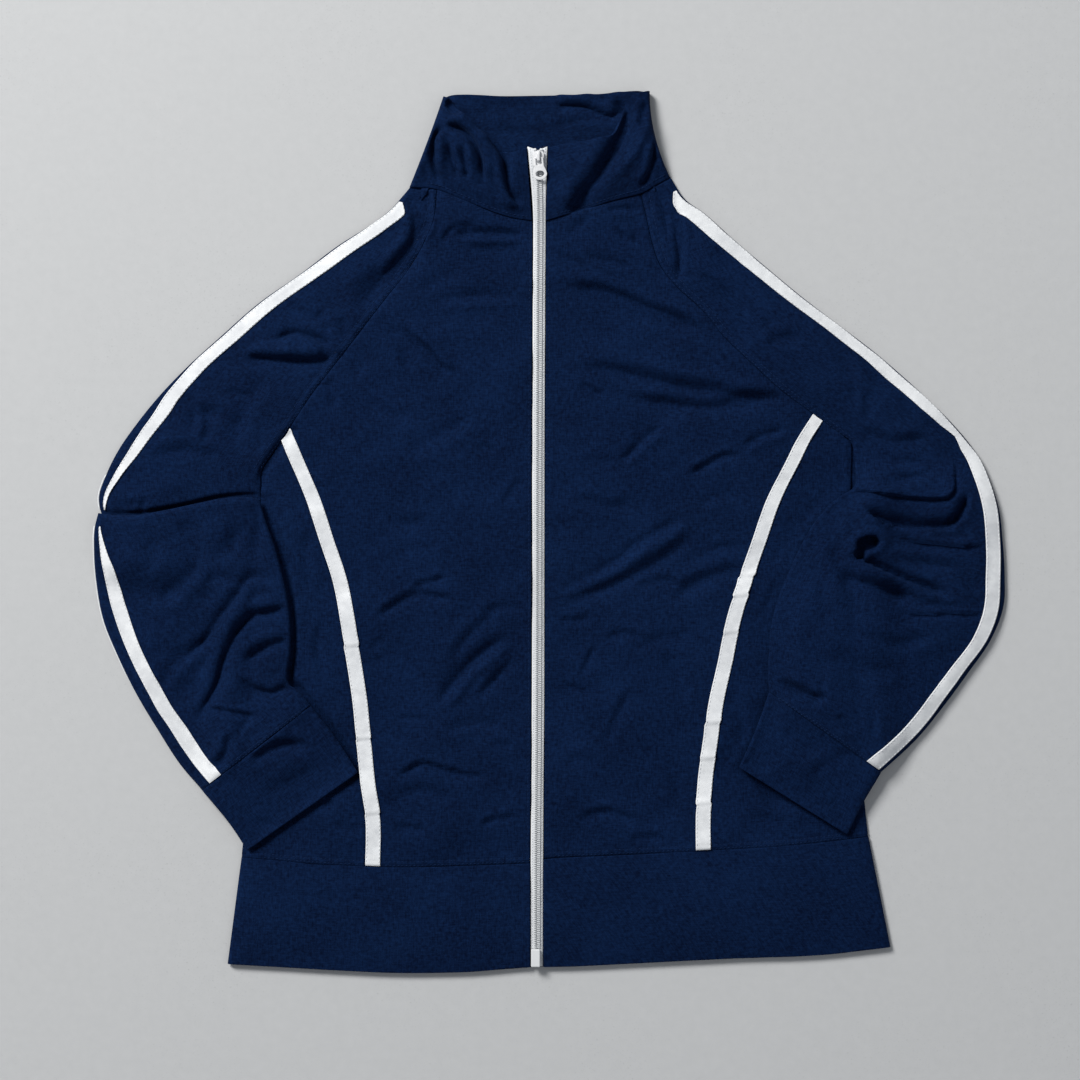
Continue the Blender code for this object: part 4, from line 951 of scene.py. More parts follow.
def light_wear() -> Tree:
    """Small rubbed or dusty places, sparse and uneven."""
    def build(graph: Graph, start: Node) -> dict:
        """Keeps the peaks of one noise where another is high."""
        ways = start.outputs
        spots = graph.noise(ways["Vector"], graph.math("DIVIDE", 1000.0, ways["Size"]), 5.0)
        where = graph.noise(ways["Vector"], 9.0, 2.0)
        peak, place = graph.ramp(spots, 0.6, 0.74), graph.ramp(where, 0.42, 0.66)
        return {"Mask": graph.math("MULTIPLY", graph.math("MULTIPLY", peak, place), ways["Amount"])}

    return group("light_wear", {"Vector": ("NodeSocketVector", 0), "Size": ("NodeSocketFloat", 4.0),
                                "Amount": ("NodeSocketFloat", 0.5)}, ("Mask",), build)


Colour = tuple[float, float, float]


@dataclass(frozen=True)
class Finish:
    """What every finish has: a name, two tones and how rough it is."""
    name: str
    dark: Colour
    light: Colour
    rough: float = 0.8
    sheen: float = 0.0
    sheen_tint: Colour = (1.0, 1.0, 1.0)
    level: float = 0.4

    def begin(self) -> tuple[Material, Graph, Node, Node, Node]:
        """A new material with its shader, coordinates and weave distances."""
        made = bpy.data.materials.new(self.name)
        made.use_nodes = True
        made.diffuse_color = (*self.light, 1.0)
        graph = Graph(made.node_tree)
        shader = graph.add("ShaderNodeBsdfPrincipled")
        shader.inputs["Specular IOR Level"].default_value = self.level
        shader.inputs["Sheen Weight"].default_value = self.sheen
        shader.inputs["Sheen Roughness"].default_value = 0.45
        shader.inputs["Sheen Tint"].default_value = (*self.sheen_tint, 1.0)
        out = graph.add("ShaderNodeOutputMaterial")
        graph.feed(out.inputs["Surface"], shader.outputs["BSDF"])
        place = graph.add("ShaderNodeTexCoord")
        weave = graph.add("ShaderNodeUVMap", uv_map="weave")
        return made, graph, shader, place, weave

    def part(self, graph: Graph, tree: Tree, inputs: dict) -> Node:
        """One of the shared groups, placed with this finish's own values."""
        node = graph.add("ShaderNodeGroup")
        node.node_tree = tree
        for key, value in inputs.items():
            graph.feed(node.inputs[key], value)
        return node

    def bump(self, graph: Graph, shader: Node, height: object, depth: float) -> None:
        """Feeds a height in millimetres to the shader's normal."""
        node = graph.add("ShaderNodeBump", {"Height": height, "Distance": depth * MM, "Strength": 1.0})
        graph.feed(shader.inputs["Normal"], node.outputs["Normal"])

    def tone(self, graph: Graph, where: object, slow: float, quick: float, share: float) -> Socket:
        """Changes of tone over the surface, slow and quick ones by their sizes in millimetres."""
        inputs = {"Vector": where, "Slow": slow, "Quick": quick, "Share": share}
        return self.part(graph, tone_drift(), inputs).outputs["Value"]

    def wear(self, graph: Graph, where: object, size: float, amount: float) -> Socket:
        """Where the surface is rubbed or dusty."""
        inputs = {"Vector": where, "Size": size, "Amount": amount}
        return self.part(graph, light_wear(), inputs).outputs["Mask"]

    def shade(self, graph: Graph, factor: object) -> Socket:
        """A colour between this finish's dark and light tones."""
        return graph.tint(factor, (*self.dark, 1.0), (*self.light, 1.0))

    def roughen(self, graph: Graph, factor: object, less: float, more: float) -> Socket:
        """A roughness from less below this finish's own to more above it."""
        return graph.between(factor, self.rough - less, self.rough + more)


@dataclass(frozen=True)
class KnitFinish(Finish):
    """Dense double-knit: fine wales, mottled tone, a dull sheen and a little lint."""
    wale: float = 0.78
    course: float = 0.66
    relief: float = 0.16
    mottle: float = 0.7
    lint: Colour = (0.02, 0.04, 0.10)

    def build(self) -> Material:
        """The finish as a material."""
        made, graph, shader, place, weave = self.begin()
        where = place.outputs["Object"]
        flat = weave.outputs["UV"]
        face = self.part(graph, knit_face(), {"Weave": flat, "Wale": self.wale, "Course": self.course})
        tone = self.tone(graph, where, 46.0, 2.6, self.mottle)
        yarn = self.part(graph, yarn_streaks(), {"Weave": flat, "Long": 7.0, "Short": 1.1})
        drift = graph.ramp(graph.between(0.5, tone, yarn.outputs["Value"]), 0.39, 0.61)
        colour = self.shade(graph, graph.between(0.25, drift, face.outputs["Shade"]))
        colour = graph.tint(self.wear(graph, where, 2.2, 0.14), colour, (*self.lint, 1.0))
        graph.feed(shader.inputs["Base Color"], colour)
        graph.feed(shader.inputs["Roughness"], self.roughen(graph, tone, 0.1, 0.08))
        height = graph.math("ADD", face.outputs["Height"], graph.math("MULTIPLY", tone, 1.4))
        self.bump(graph, shader, height, self.relief)
        return made


@dataclass(frozen=True)
class TapeFinish(Finish):
    """Flat woven tape with fine ribs, firm edges and slightly soiled places."""
    width: float = 12.0
    pitch: float = 0.8
    soil: Colour = (0.52, 0.53, 0.54)

    def build(self) -> Material:
        """The finish as a material."""
        made, graph, shader, place, weave = self.begin()
        where = place.outputs["Object"]
        flat = weave.outputs["UV"]
        ribs = self.part(graph, woven_ribs(), {"Weave": flat, "Pitch": self.pitch, "Width": self.width})
        tone = self.tone(graph, where, 34.0, 5.0, 0.4)
        drift = graph.ramp(tone, 0.35, 0.65)
        colour = self.shade(graph, graph.between(0.35, drift, ribs.outputs["Height"]))
        colour = graph.tint(self.wear(graph, where, 7.0, 0.5), colour, (*self.soil, 1.0))
        graph.feed(shader.inputs["Base Color"], colour)
        graph.feed(shader.inputs["Roughness"], self.roughen(graph, tone, 0.08, 0.08))
        self.bump(graph, shader, ribs.outputs["Height"], 0.12)
        return made


@dataclass(frozen=True)
class ThreadFinish(Finish):
    """Spun sewing thread with a fine twist."""
    twist: float = 0.45

    def build(self) -> Material:
        """The finish as a material."""
        made, graph, shader, place, _ = self.begin()
        where = place.outputs["Object"]
        tone = self.tone(graph, where, 20.0, 0.8, 0.6)
        inputs = {"Vector": where, "Scale": 1000.0 / self.twist / 20, "Distortion": 2.0}
        wave = graph.add("ShaderNodeTexWave", inputs, bands_direction="DIAGONAL")
        factor = graph.between(0.5, tone, wave.outputs["Fac"])
        graph.feed(shader.inputs["Base Color"], self.shade(graph, factor))
        graph.feed(shader.inputs["Roughness"], self.roughen(graph, tone, 0.1, 0.1))
        self.bump(graph, shader, wave.outputs["Fac"], 0.06)
        return made


@dataclass(frozen=True)
class SmoothFinish(Finish):
    """Moulded nylon or enamel: even, with faint flow marks, small dents and small rubbed spots."""
    grain: float = 1.6
    relief: float = 0.02
    coat: float = 0.0

    def build(self) -> Material:
        """The finish as a material."""
        made, graph, shader, place, _ = self.begin()
        where = place.outputs["Object"]
        tone = self.tone(graph, where, 12.0, self.grain, 0.5)
        wear = self.wear(graph, where, 1.8, 0.6)
        rubbed = tuple(0.72 * part for part in self.dark)
        graph.feed(shader.inputs["Base Color"], graph.tint(wear, self.shade(graph, tone), (*rubbed, 1.0)))
        rough = self.roughen(graph, tone, 0.07, 0.09)
        rough = graph.math("ADD", rough, graph.math("MULTIPLY", wear, 0.2))
        graph.feed(shader.inputs["Roughness"], rough)
        shader.inputs["Coat Weight"].default_value = self.coat
        self.bump(graph, shader, tone, self.relief)
        return made


@dataclass(frozen=True)
class Palette:
    """All the jacket's finishes."""
    knit: Material
    tape: Material
    zip_tape: Material
    thread: Material
    white_thread: Material
    nylon: Material
    enamel: Material

    @staticmethod
    def mix() -> "Palette":
        """Makes every material once."""
        blue = (0.16, 0.36, 1.0)
        return Palette(
            knit=KnitFinish("navy_double_knit", (0.0004, 0.0028, 0.0150), (0.0038, 0.0160, 0.0600), 0.86,
                            0.04, blue, level=0.04).build(),
            tape=TapeFinish("white_woven_tape", (0.52, 0.54, 0.57), (0.76, 0.78, 0.80), 0.82, 0.1).build(),
            zip_tape=TapeFinish("white_zip_tape", (0.54, 0.56, 0.59), (0.74, 0.76, 0.78), 0.8, 0.1, width=6.0,
                                pitch=0.6).build(),
            thread=ThreadFinish("navy_thread", (0.002, 0.008, 0.032), (0.007, 0.022, 0.072), 0.7, 0.05, blue,
                                level=0.06).build(),
            white_thread=ThreadFinish("white_thread", (0.62, 0.64, 0.67), (0.82, 0.83, 0.85), 0.6).build(),
            nylon=SmoothFinish("white_nylon_coil", (0.54, 0.56, 0.58), (0.70, 0.72, 0.74), 0.42, grain=0.9,
                               relief=0.03).build(),
            enamel=SmoothFinish("white_slider_enamel", (0.58, 0.59, 0.61), (0.74, 0.75, 0.77), 0.28,
                                coat=0.3).build(),
        )


# ---------------------------------------------------------------- body

BODY_FOLDS = [
    Fold(((-89, 235), (-84, 243), (-78, 248), (-69, 250), (-60, 248)), 3.0, 1.0, 0.5),
    Fold(((-80, 243), (-66, 243.5), (-50, 243.5), (-38, 243), (-20, 241)), 3.2, 3.4, -0.5, 0.8),
    Fold(((-67, 232), (-56, 230), (-45, 229)), 4.0, 0.9),
    Fold(((-106, 198), (-86, 207), (-68, 214)), 8.0, 0.9, 0.4),
    Fold(((-98, 188), (-61, 193), (-22, 192)), 5.0, 1.1, -0.5),
    Fold(((-139, 178), (-127, 161)), 4.0, 1.0),
    Fold(((-122, 172), (-112, 158), (-96, 142), (-80, 125)), 3.4, 2.0, 0.9),
    Fold(((-131, 168), (-120, 148), (-112, 128)), 5.0, 1.2, -0.4),
    Fold(((-59, 73), (-52, 68), (-44, 67)), 3.0, 1.3),
    Fold(((-114, -45), (-100, -42), (-84, -36)), 3.0, 1.7, 0.6),
    Fold(((-146, -73), (-128, -61), (-108, -51), (-92, -54), (-76, -57)), 3.6, 1.6, 0.5),
    Fold(((-147, -96), (-134, -86)), 3.0, 1.1),
    Fold(((-150, -106), (-134, -104)), 3.0, 1.0),
    Fold(((-130, -202), (-117, -196), (-105, -190), (-92, -193), (-77, -198), (-60, -200), (-44, -200)),
          2.8, 1.9, 0.5, 0.4),
    Fold(((-84, -194), (-66, -196), (-50, -195)), 6.0, 1.0, 0),
    Fold(((-128, -240), (-114, -243), (-101, -243)), 3.6, 1.6),
    Fold(((-58, -240), (-44, -235), (-28, -233)), 3.0, 1.6, 0.5),
    Fold(((-94, -144), (-78, -123), (-52, -97), (-31, -84)), 5.0, 1.9, -0.7),
    Fold(((-60, -137), (-38, -114), (-28, -104)), 4.0, 1.5, 0.5),
    Fold(((-130, -153), (-116, -152), (-100, -154)), 2.4, 1.3),
    Fold(((-48, -171), (-40, -174), (-30, -173)), 3.0, 1.5),
    Fold(((-150, 20), (-120, 6), (-96, 10)), 6.0, 0.8),
    Fold(((-120, 60), (-96, 76), (-60, 96)), 7.0, 0.8, -0.5),
    Fold(((-40, 20), (-22, 44)), 4.0, 0.9),
    Fold(((-84, -108), (-64, -84), (-40, -60)), 5.0, 1.1),
    Fold(((-88, -164), (-60, -156), (-34, -160)), 4.6, 0.8, -0.4),
    Fold(((-150, 110), (-132, 96), (-110, 92)), 5.0, 0.7),
    Fold(((-128, -216), (-104, -212), (-76, -220)), 5.0, 0.8, 0.4),
    Fold(((-60, -66), (-38, -62), (-20, -64)), 3.0, 1.0, -0.4),
    Fold(((4, 202), (28, 198), (46, 192), (77, 180), (102, 172), (132, 161)), 6.4, 3.8, 0.4, 0.4, 0.3),
    Fold(((14, 131), (40, 133), (70, 127), (110, 117), (150, 112), (196, 108)), 6.4, 2.5, 0.4, 0.0, 0.3),
    Fold(((56, 112), (98, 103), (130, 101), (163, 106), (198, 111)), 6.4, 2.7, 0.5, 0.2, 0.3),
    Fold(((24, 122), (36, 114), (44, 112)), 3.0, 1.2),
    Fold(((56, 55), (68, 66), (80, 78), (93, 87)), 3.4, 1.7, -0.4),
    Fold(((66, 60), (72, 76), (76, 92)), 5.0, 0.7),
    Fold(((112, 45), (128, 54), (144, 62), (158, 59)), 3.2, 1.6, 0.4),
    Fold(((156, 68), (172, 77), (194, 84)), 3.4, 1.5, -0.5),
    Fold(((24, 60), (40, 56), (56, 58)), 5.0, 0.7),
    Fold(((-2, -62), (20, -55), (44, -47), (64, -38), (84, -27), (104, -14), (126, 2)),
          6.0, 1.7, 0.6, 0.3, 0.3),
    Fold(((2, -53), (20, -43), (40, -33), (58, -22), (76, -10)), 5.0, 1.4, -0.5, 0.0, 0.3),
    Fold(((56, -20), (74, -8), (92, 2), (112, 14)), 5.0, 1.2, -0.6),
    Fold(((70, -46), (92, -40), (108, -46)), 4.0, 1.1),
    Fold(((98, -58), (114, -46), (130, -38), (146, -33), (166, -36)), 6.4, 1.8, 0.4, 0.0, 0.3),
    Fold(((132, -15), (144, -12), (156, -14)), 4.0, 1.4),
    Fold(((8, -71), (20, -73), (34, -70)), 3.4, 1.6),
    Fold(((44, -88), (60, -84), (78, -88)), 4.0, 1.2),
    Fold(((26, -118), (32, -104), (38, -92)), 3.0, 1.2),
    Fold(((10, -126), (20, -128), (32, -132)), 3.2, 1.3),
    Fold(((45, -175), (54, -154), (68, -126)), 4.4, 0.7, 0.5),
    Fold(((92, -96), (104, -118), (110, -142)), 6.0, 0.9),
    Fold(((22, -236), (34, -231), (46, -229), (58, -232), (72, -238)), 3.2, 1.6, 0.4),
    Fold(((64, -253), (80, -250), (96, -252)), 3.2, 1.6),
    Fold(((45, 262), (61, 264), (76, 261)), 2.8, 1.6, -0.5),
    Fold(((54, 248), (62, 240), (74, 236)), 4.0, 1.4),
    Fold(((64, 251), (70, 244), (72, 238)), 3.4, 1.3, -0.4),
    Fold(((8, 230), (14, 224), (24, 216)), 3.2, 1.5),
    Fold(((28, 226), (42, 222), (54, 219), (68, 215)), 3.6, 1.6, -0.5),
    Fold(((84, 222), (90, 212), (96, 204)), 5.0, 0.9),
    Fold(((14, 240), (24, 250), (36, 256)), 5.0, 1.0),
    Fold(((60, -100), (90, -88), (118, -84)), 5.0, 0.7),
    Fold(((96, -186), (104, -204), (108, -222)), 6.0, 0.9, -0.4),
    Fold(((10, -190), (26, -186), (40, -192)), 5.0, 0.8),
    Fold(((18, 30), (48, 20), (70, 24)), 5.0, 0.8),
    Fold(((120, 20), (140, 30), (156, 28)), 5.0, 0.8, -0.4),
    Fold(((243.4, 78), (243.0, 58), (243.4, 34)), 3.4, -0.9, 0, 0.0, 0.2),
    Fold(((189, -40), (196, -26), (203, -11)), 4.0, 1.2),
    Fold(((-214, -225), (-196, -219), (-172, -224)), 3.4, 1.3),
    Fold(((176, -70), (182, -54), (192, -40)), 5.0, 0.9, 0.4),
    Fold(((144, -128), (156, -150), (160, -178)), 5.0, 0.9),
    Fold(((160, -228), (176, -236), (196, -238)), 4.0, 0.9),
    Fold(((-196, 4), (-200, -24), (-196, -52)), 5.0, 0.8),
    Fold(((-186, -70), (-190, -96), (-184, -120)), 4.0, 0.8, -0.4),
    Fold(((-178, -236), (-162, -244), (-152, -240)), 4.0, 1.0),
]
SWELLS = (
    Swell(3, 70.0, 1.3),
    Swell(11, 30.0, 1.15, turn=0.6, stretch=1.8),
    Swell(19, 13.0, 0.5, turn=0.5, stretch=2.4),
    Swell(23, 17.0, 0.36, turn=-0.3, stretch=2.2),
    Swell(29, 6.5, 0.12, turn=-0.7, stretch=1.8),
)
BACK_FOLDS = [
    Fold(((-180, 120), (-60, 60), (40, 70)), 9.0, -0.9, 0),
    Fold(((-150, -60), (-20, -90), (120, -60)), 10.0, -0.8, 0),
    Fold(((60, 180), (130, 110), (170, 20)), 9.0, -0.8, 0),
    Fold(((-120, -180), (0, -160), (90, -200)), 9.0, -0.7, 0),
]


@dataclass
class Relief:
    """The creases and swells of each layer, in plan coordinates, so that they run on across seams."""
    body_gain: float = 2.5
    sleeve_gain: float = 2.5
    collar_gain: float = 1.7

    def body(self, plan: Array) -> Array:
        """What the creases move the fronts and the upper sleeves by."""
        moved = creased(plan, BODY_FOLDS + UPPER_FOLDS + SHOULDER_FOLDS) * self.body_gain
        moved[..., 2] += sum(swell.at(plan) for swell in SWELLS)
        return moved

    def arm(self, plan: Array, folds: Sequence[Fold | Pit]) -> Array:
        """What the creases move a forearm or a cuff by."""
        moved = creased(plan, folds) * self.sleeve_gain
        moved[..., 2] += sum(swell.at(plan) for swell in SWELLS)
        return moved


RELIEF = Relief()


class Side(Enum):
    """Left and right as the jacket lies, seen from above."""
    LEFT = -1
    RIGHT = 1

    @property
    def word(self) -> str:
        """The side's name in a piece's name."""
        return self.name.lower()


# How far the back is let out at each armpit: side, amount, the x from and to which it comes in, and the y
# of its middle and its reach along the side seam
ARMPIT_EASE = ((Side.RIGHT, 8.0, 225.0, 246.0, 50.0, 22.0), (Side.LEFT, 4.0, 218.0, 236.0, 38.0, 16.0))


@dataclass
class Panel:
    """A cut panel between two long edges, whose ends follow a curve each.

    line has the first edge's point and the second edge's; top and bottom are the curves that the
    first and last rows follow; seams shape the cloth along its edges.
    """
    name: str
    line: Curve
    top: Curve | None
    bottom: Curve
    seams: Sequence[Seam]
    middle: int
    inset: float = CLOTH.seam_inset
    tuck: tuple[float, ...] = (-1.8, -1.0, -0.4)
    row_step: float = 2.7
    bend: float = 42.0

    def plan(self, along: Array, away: Callable[[Array], Array]) -> Array:
        """Plan points at distances along the first edge, and across each row.

        Args:
            along: Distances along the first edge.
            away: Gives the distances across for rows of given widths.

        Returns:
            Rows by columns by 2.
        """
        def straight(rows: Array) -> Array:
            """Rows as straight lines from edge to edge."""
            start, step = rows[:, :2], rows[:, 2:4] - rows[:, :2]
            width = np.linalg.norm(step, axis=-1)
            return start[:, None] + (step / width[:, None])[:, None] * away(width)[..., None]

        plan = straight(self.line.at(along))
        ends = ((self.top, 0.0, along), (self.bottom, self.line.length, self.line.length - along))
        for curve, where, gap in ends:
            if curve is None:
                continue
            end = straight(self.line.at([where]))[0]
            plan[..., 1] += (curve.y_at(end[:, 0]) - end[:, 1]) * (1 - smooth(gap, 0, self.bend))[:, None]
        return plan

    def grid(self) -> Array:
        """Plan points of the whole panel, closest near its seams."""
        first = [self.inset] + [away for away in FINE if away > self.inset]

        def away(width: Array) -> Array:
            """Columns: fine at both edges, even between them."""
            fixed = np.broadcast_to(np.array(first), (len(width), len(first)))
            far = width[:, None] - fixed[:, ::-1]
            shares = (np.arange(self.middle) + 1) / (self.middle + 1)
            between = fixed[:, -1:] + (far[:, :1] - fixed[:, -1:]) * shares
            return np.concatenate([fixed, between, far], axis=1)

        corners = [0.0, *self.corners(), self.line.length]
        along = []
        for a, b in zip(corners, corners[1:]):
            last = first if b == self.line.length else ()
            along.append(steps(b - a, self.row_step, first if a == 0 else (), last) + a)
        under = np.array(self.tuck)
        if self.top is not None:
            along.append(under)
        along.append(self.line.length - under)
        return self.plan(np.unique(np.concatenate(along).round(4)), away)

    def corners(self) -> list[float]:
        """Distances of the first edge's corners."""
        turned = np.nonzero(np.abs(self.line.arrive - self.line.leave).max(1) > 1e-9)[0]
        return [float(self.line.knots[i]) for i in turned]

    def height(self, plan: Array) -> Array:
        """Height of the cloth's upper side."""
        height = GROUND.under_front(plan) + CLOTH.wall
        relief = RELIEF.body(plan)[..., 2]
        height = np.maximum(height + relief * GROUND.bare(plan) + GROUND.crevice(plan), 2.9)
        for seam in self.seams:
            height = height + seam.shape(distance(plan, seam.line))
        for curve, sign in ((self.top, 1), (self.bottom, -1)):
            if curve is not None:
                past = sign * (plan[..., 1] - curve.y_at(plan[..., 0]))
                height = height - CLOTH.tuck * smooth(past, -0.2, 1.5)
        return np.maximum(height, 2.4)

    def surface(self, plan: Array) -> Array:
        """Plan points with their heights."""
        return np.concatenate([plan, self.height(plan)[..., None]], axis=-1)

    def strip(self, line: Array, away: float) -> Array:
        """A narrow grid of three columns, beside a line at a distance to its left."""
        step = unit(np.gradient(line[:, :2], axis=0))
        side = np.stack([-step[:, 1], step[:, 0]], axis=-1)
        plan = np.stack([line[:, :2] + side * (away + off) for off in (-0.5, 0.0, 0.5)], axis=1)
        return self.surface(plan)


class SidePanel(Panel):
    """A side front, which rolls down to the side seam at its outer edge."""

    def height(self, plan: Array) -> Array:
        """Height of the cloth's upper side."""
        outer = self.line.every(8.0)[:, 2:4]
        roll = 1 - rounding(distance(plan, outer), 7.0)
        return super().height(plan) - 1.7 * roll


class BackPanel(Panel):
    """The back, which lies flat under everything."""

    def height(self, plan: Array) -> Array:
        """Height of the cloth's upper side."""
        relief = creased(plan, BACK_FOLDS)[..., 2] * GROUND.bare(plan, 20.0)
        return CLOTH.single + 0.06 + np.clip(relief, 0, 1.0)

    def surface(self, plan: Array) -> Array:
        """Plan points with their heights, let out a little where the armpit gapes."""
        plan = plan.copy()
        for side, amount, inner, outer, middle, reach in ARMPIT_EASE:
            beside = smooth(side.value * plan[..., 0], inner, outer)
            plan[..., 0] += side.value * amount * beside * bell((plan[..., 1] - middle) / reach)
        return super().surface(plan)


@dataclass
class Body:
    """The back, the fronts in four panels, and the woven tapes over their curved seams."""
    palette: Palette
    zip_gap: float = 10.8
    centre_columns: int = 80
    side_columns: int = 34
    back_columns: int = 44
    panels: dict[str, Panel] = field(default_factory=dict)

    def beside_zip(self, side: Side, rows: Sequence[float]) -> list[Point]:
        """Points of a front's edge beside the zip, at each y."""
        return [(float(zip_x(y)) + side.value * self.zip_gap / 2, y) for y in rows]

    def cut(self) -> None:
        """Sets out the five panels from the tables."""
        hem = hem_seam()
        cuts = (
            (Side.LEFT, UPPER_LEFT, TAPE_CORNER_LEFT, BODY_TAPE_LEFT, ZIP_ROWS_LEFT, NECK_LEFT, SIDE_LEFT),
            (Side.RIGHT, SLEEVE_RIGHT, TAPE_CORNER_RIGHT, BODY_TAPE_RIGHT, ZIP_ROWS_RIGHT, NECK_RIGHT,
             SIDE_RIGHT),
        )
        for side, sleeve, corner, tape, zip_rows, neck, side_line in cuts:
            raglan = [row[2:4] for row in sleeve[:corner + 1]]
            raglan[0] = neck[0] if side is Side.LEFT else neck[-1]
            edge = raglan + tape
            to = self.beside_zip(side, zip_rows)
            line = Curve([(*a, *b) for a, b in zip(edge, to)], corners=[corner])
            seams = [
                Seam(Curve(raglan).every(6.0), (), 0.9, 1.5), Seam(Curve(neck).every(6.0), (1.7,)),
                Seam(hem.every(8.0), (1.4, 4.2)),
                Seam(np.array(self.beside_zip(side, range(-275, 262, 8))), (2.4,), 0.5, 1.0),
            ]
            centre = Panel(f"front_centre_{side.word}", line, Curve(neck), hem, seams, self.centre_columns)
            self.panels[centre.name] = centre

            tape_edge = np.array([raglan[-1]] + tape)
            share = (tape_edge[0, 1] - tape_edge[:, 1]) / (tape_edge[0, 1] - tape_edge[-1, 1])
            y = side_line[0][1] + share * (side_line[-1][1] - side_line[0][1])
            to_side = np.stack([Curve(side_line).x_at(y), y], axis=-1)
            line = Curve(np.concatenate([tape_edge, to_side], axis=1))
            seams = [Seam(hem.every(8.0), (1.4, 4.2)), Seam(line.every(6.0)[:, :2], (), 0.4)]
            panel = SidePanel(f"front_side_{side.word}", line, None, hem, seams, self.side_columns)
            self.panels[panel.name] = panel
        left = [row[2:4] for row in UPPER_LEFT[1:ARMPIT_LEFT]]
        right = [row[2:4] for row in SLEEVE_RIGHT[1:ARMPIT_RIGHT]]
        one = Curve([NECK_BACK[0], *left, *SIDE_LEFT])
        two = Curve([NECK_BACK[-1], *right, *SIDE_RIGHT])
        shares = np.linspace(0, 1, 40)
        rows = np.concatenate([one.at(shares * one.length), two.at(shares * two.length)], axis=1)
        self.panels["back"] = BackPanel("back", Curve(rows), Curve(NECK_BACK), Curve(HEM_SEAM_BACK), [],
                                        self.back_columns, tuck=(), row_step=4.0)

    def sew_panels(self) -> None:
        """Makes the panels' meshes."""
        for name, panel in self.panels.items():
            plan = panel.grid()
            grid = panel.surface(plan)
            made = piece(name + "_cloth", cloth_mesh(name, grid, CLOTH.single, weave=plan), self.palette.knit,
                         [name])
            declare(made, grid)

    def tape_plan(self, panel: Panel, corner: float, raglan: Curve, side: Side) -> Array:
        """Plan points of the tape over a curved seam, its top cut along the raglan seam."""
        offs = np.array([0.15, 0.8, 2.0, 4.0, 6.0, 8.0, 10.0, 11.2, CLOTH.tape_width])
        along = steps(panel.line.length - corner, 1.5, (), (1.0, 2.5)) + corner
        plan = panel.plan(along, lambda width: np.broadcast_to(offs, (len(width), len(offs))))
        edge = panel.line.at([corner, corner + 14.0])[:, :2]
        way = unit(edge[0] - edge[1])
        rises = np.arange(0.5, 30.0, 0.5)
        run = plan[0, -1] + way * rises[:, None]
        crossed = side.value * (raglan.x_at(run[:, 1]) - run[:, 0]) < 0.9
        tip = run[max(int(crossed.argmax()) - 1, 0)]
        shares = np.array([1.0, 0.8, 0.6, 0.4, 0.2])[:, None]
        low, high = plan[0, 0] * (1 - shares) + tip * shares, plan[0, -1] * (1 - shares) + tip * shares
        across = (offs / CLOTH.tape_width)[None, :, None]
        top = low[:, None] * (1 - across) + high[:, None] * across
        top[0] += (plan[0, 0] - tip) * 0.04 * (1 - across[0])
        return np.concatenate([top, plan], axis=0)

    def sew_tapes(self) -> None:
        """Lays the woven tapes over the fronts' curved seams, with their edge stitching."""
        stitches = []
        sides = (
            (Side.LEFT, UPPER_LEFT, TAPE_CORNER_LEFT, (-93.0, -169.0, -230.0)),
            (Side.RIGHT, SLEEVE_RIGHT, TAPE_CORNER_RIGHT, (-36.0, -52.0, -82.0, -156.0, -185.0, -222.0)),
        )
        for side, sleeve, corner_row, kinks in sides:
            panel = self.panels[f"front_centre_{side.word}"]
            corner = float(panel.line.knots[corner_row])
            raglan = Curve([row[2:4] for row in sleeve[:corner_row + 1]])
            plan = self.tape_plan(panel, corner, raglan, side)
            grid = panel.surface(plan)
            grid[..., 2] = np.maximum(grid[..., 2], np.median(grid[..., 2], axis=1)[:, None] - 0.5)
            pucker = Swell(31 + side.value, 8.0, 0.36).at(plan)
            grid[..., 2] += np.clip(pucker, -0.1, 0.42)
            for place in kinks:
                gap = plan[..., 1] - place - 0.12 * (plan[..., 0] - plan[:, [4], 0])
                turned = (smooth(gap, -0.7, 0.7) - 0.5) * bell(gap / 5.0)
                grid[..., 2] += 1.3 * np.maximum(turned, 0) + 0.5 * bell(gap / 1.0)
                grid[..., 0] += 1.1 * turned * math.sin(place)
            outer = ribbon(grid, CLOTH.tape_lift, CLOTH.tape)
            name = f"body_tape_{side.word}"
            mesh = cloth_mesh(name, outer, CLOTH.tape)
            made = piece(name + "_woven", mesh, self.palette.tape, [name])
            declare(made, outer)
            stitches += [outer[5:, 0:3], outer[5:, -3:]]
        Stitching(radius=0.24).sew("body_tape_stitching", stitches, self.palette.white_thread)

    def topstitch(self) -> None:
        """Sews the rows along the neck, the hem seam and the zip."""
        strips = []
        hem = hem_seam().every(3.0)
        left, right = self.panels["front_centre_left"], self.panels["front_centre_right"]
        for panel, low, high in ((self.panels["front_side_left"], -236.0, -152.0), (left, -137.0, -16.5),
                                 (right, -2.5, 117.0), (self.panels["front_side_right"], 132.0, 245.0)):
            line = hem[(hem[:, 0] > low) & (hem[:, 0] < high)]
            strips += [panel.strip(line, row) for row in (1.4, 4.2)]
        for panel, neck in ((left, NECK_LEFT), (right, NECK_RIGHT)):
            line = Curve(neck).every(3.0)[1:-1]
            strips.append(panel.strip(line, -1.7))
        for panel, side in ((left, -1), (right, 1)):
            y = np.arange(-266.0, 252.0, 4.0)
            line = np.stack([zip_x(y) + side * self.zip_gap / 2, y], axis=-1)
            strips.append(panel.strip(line, -side * 2.4))
        Stitching().sew("body_topstitching", strips, self.palette.thread)

    def build(self) -> None:
        """Cuts, sews and stitches the body."""
        self.cut()
        self.sew_panels()
        self.sew_tapes()
        self.topstitch()


# ---------------------------------------------------------------- sleeves

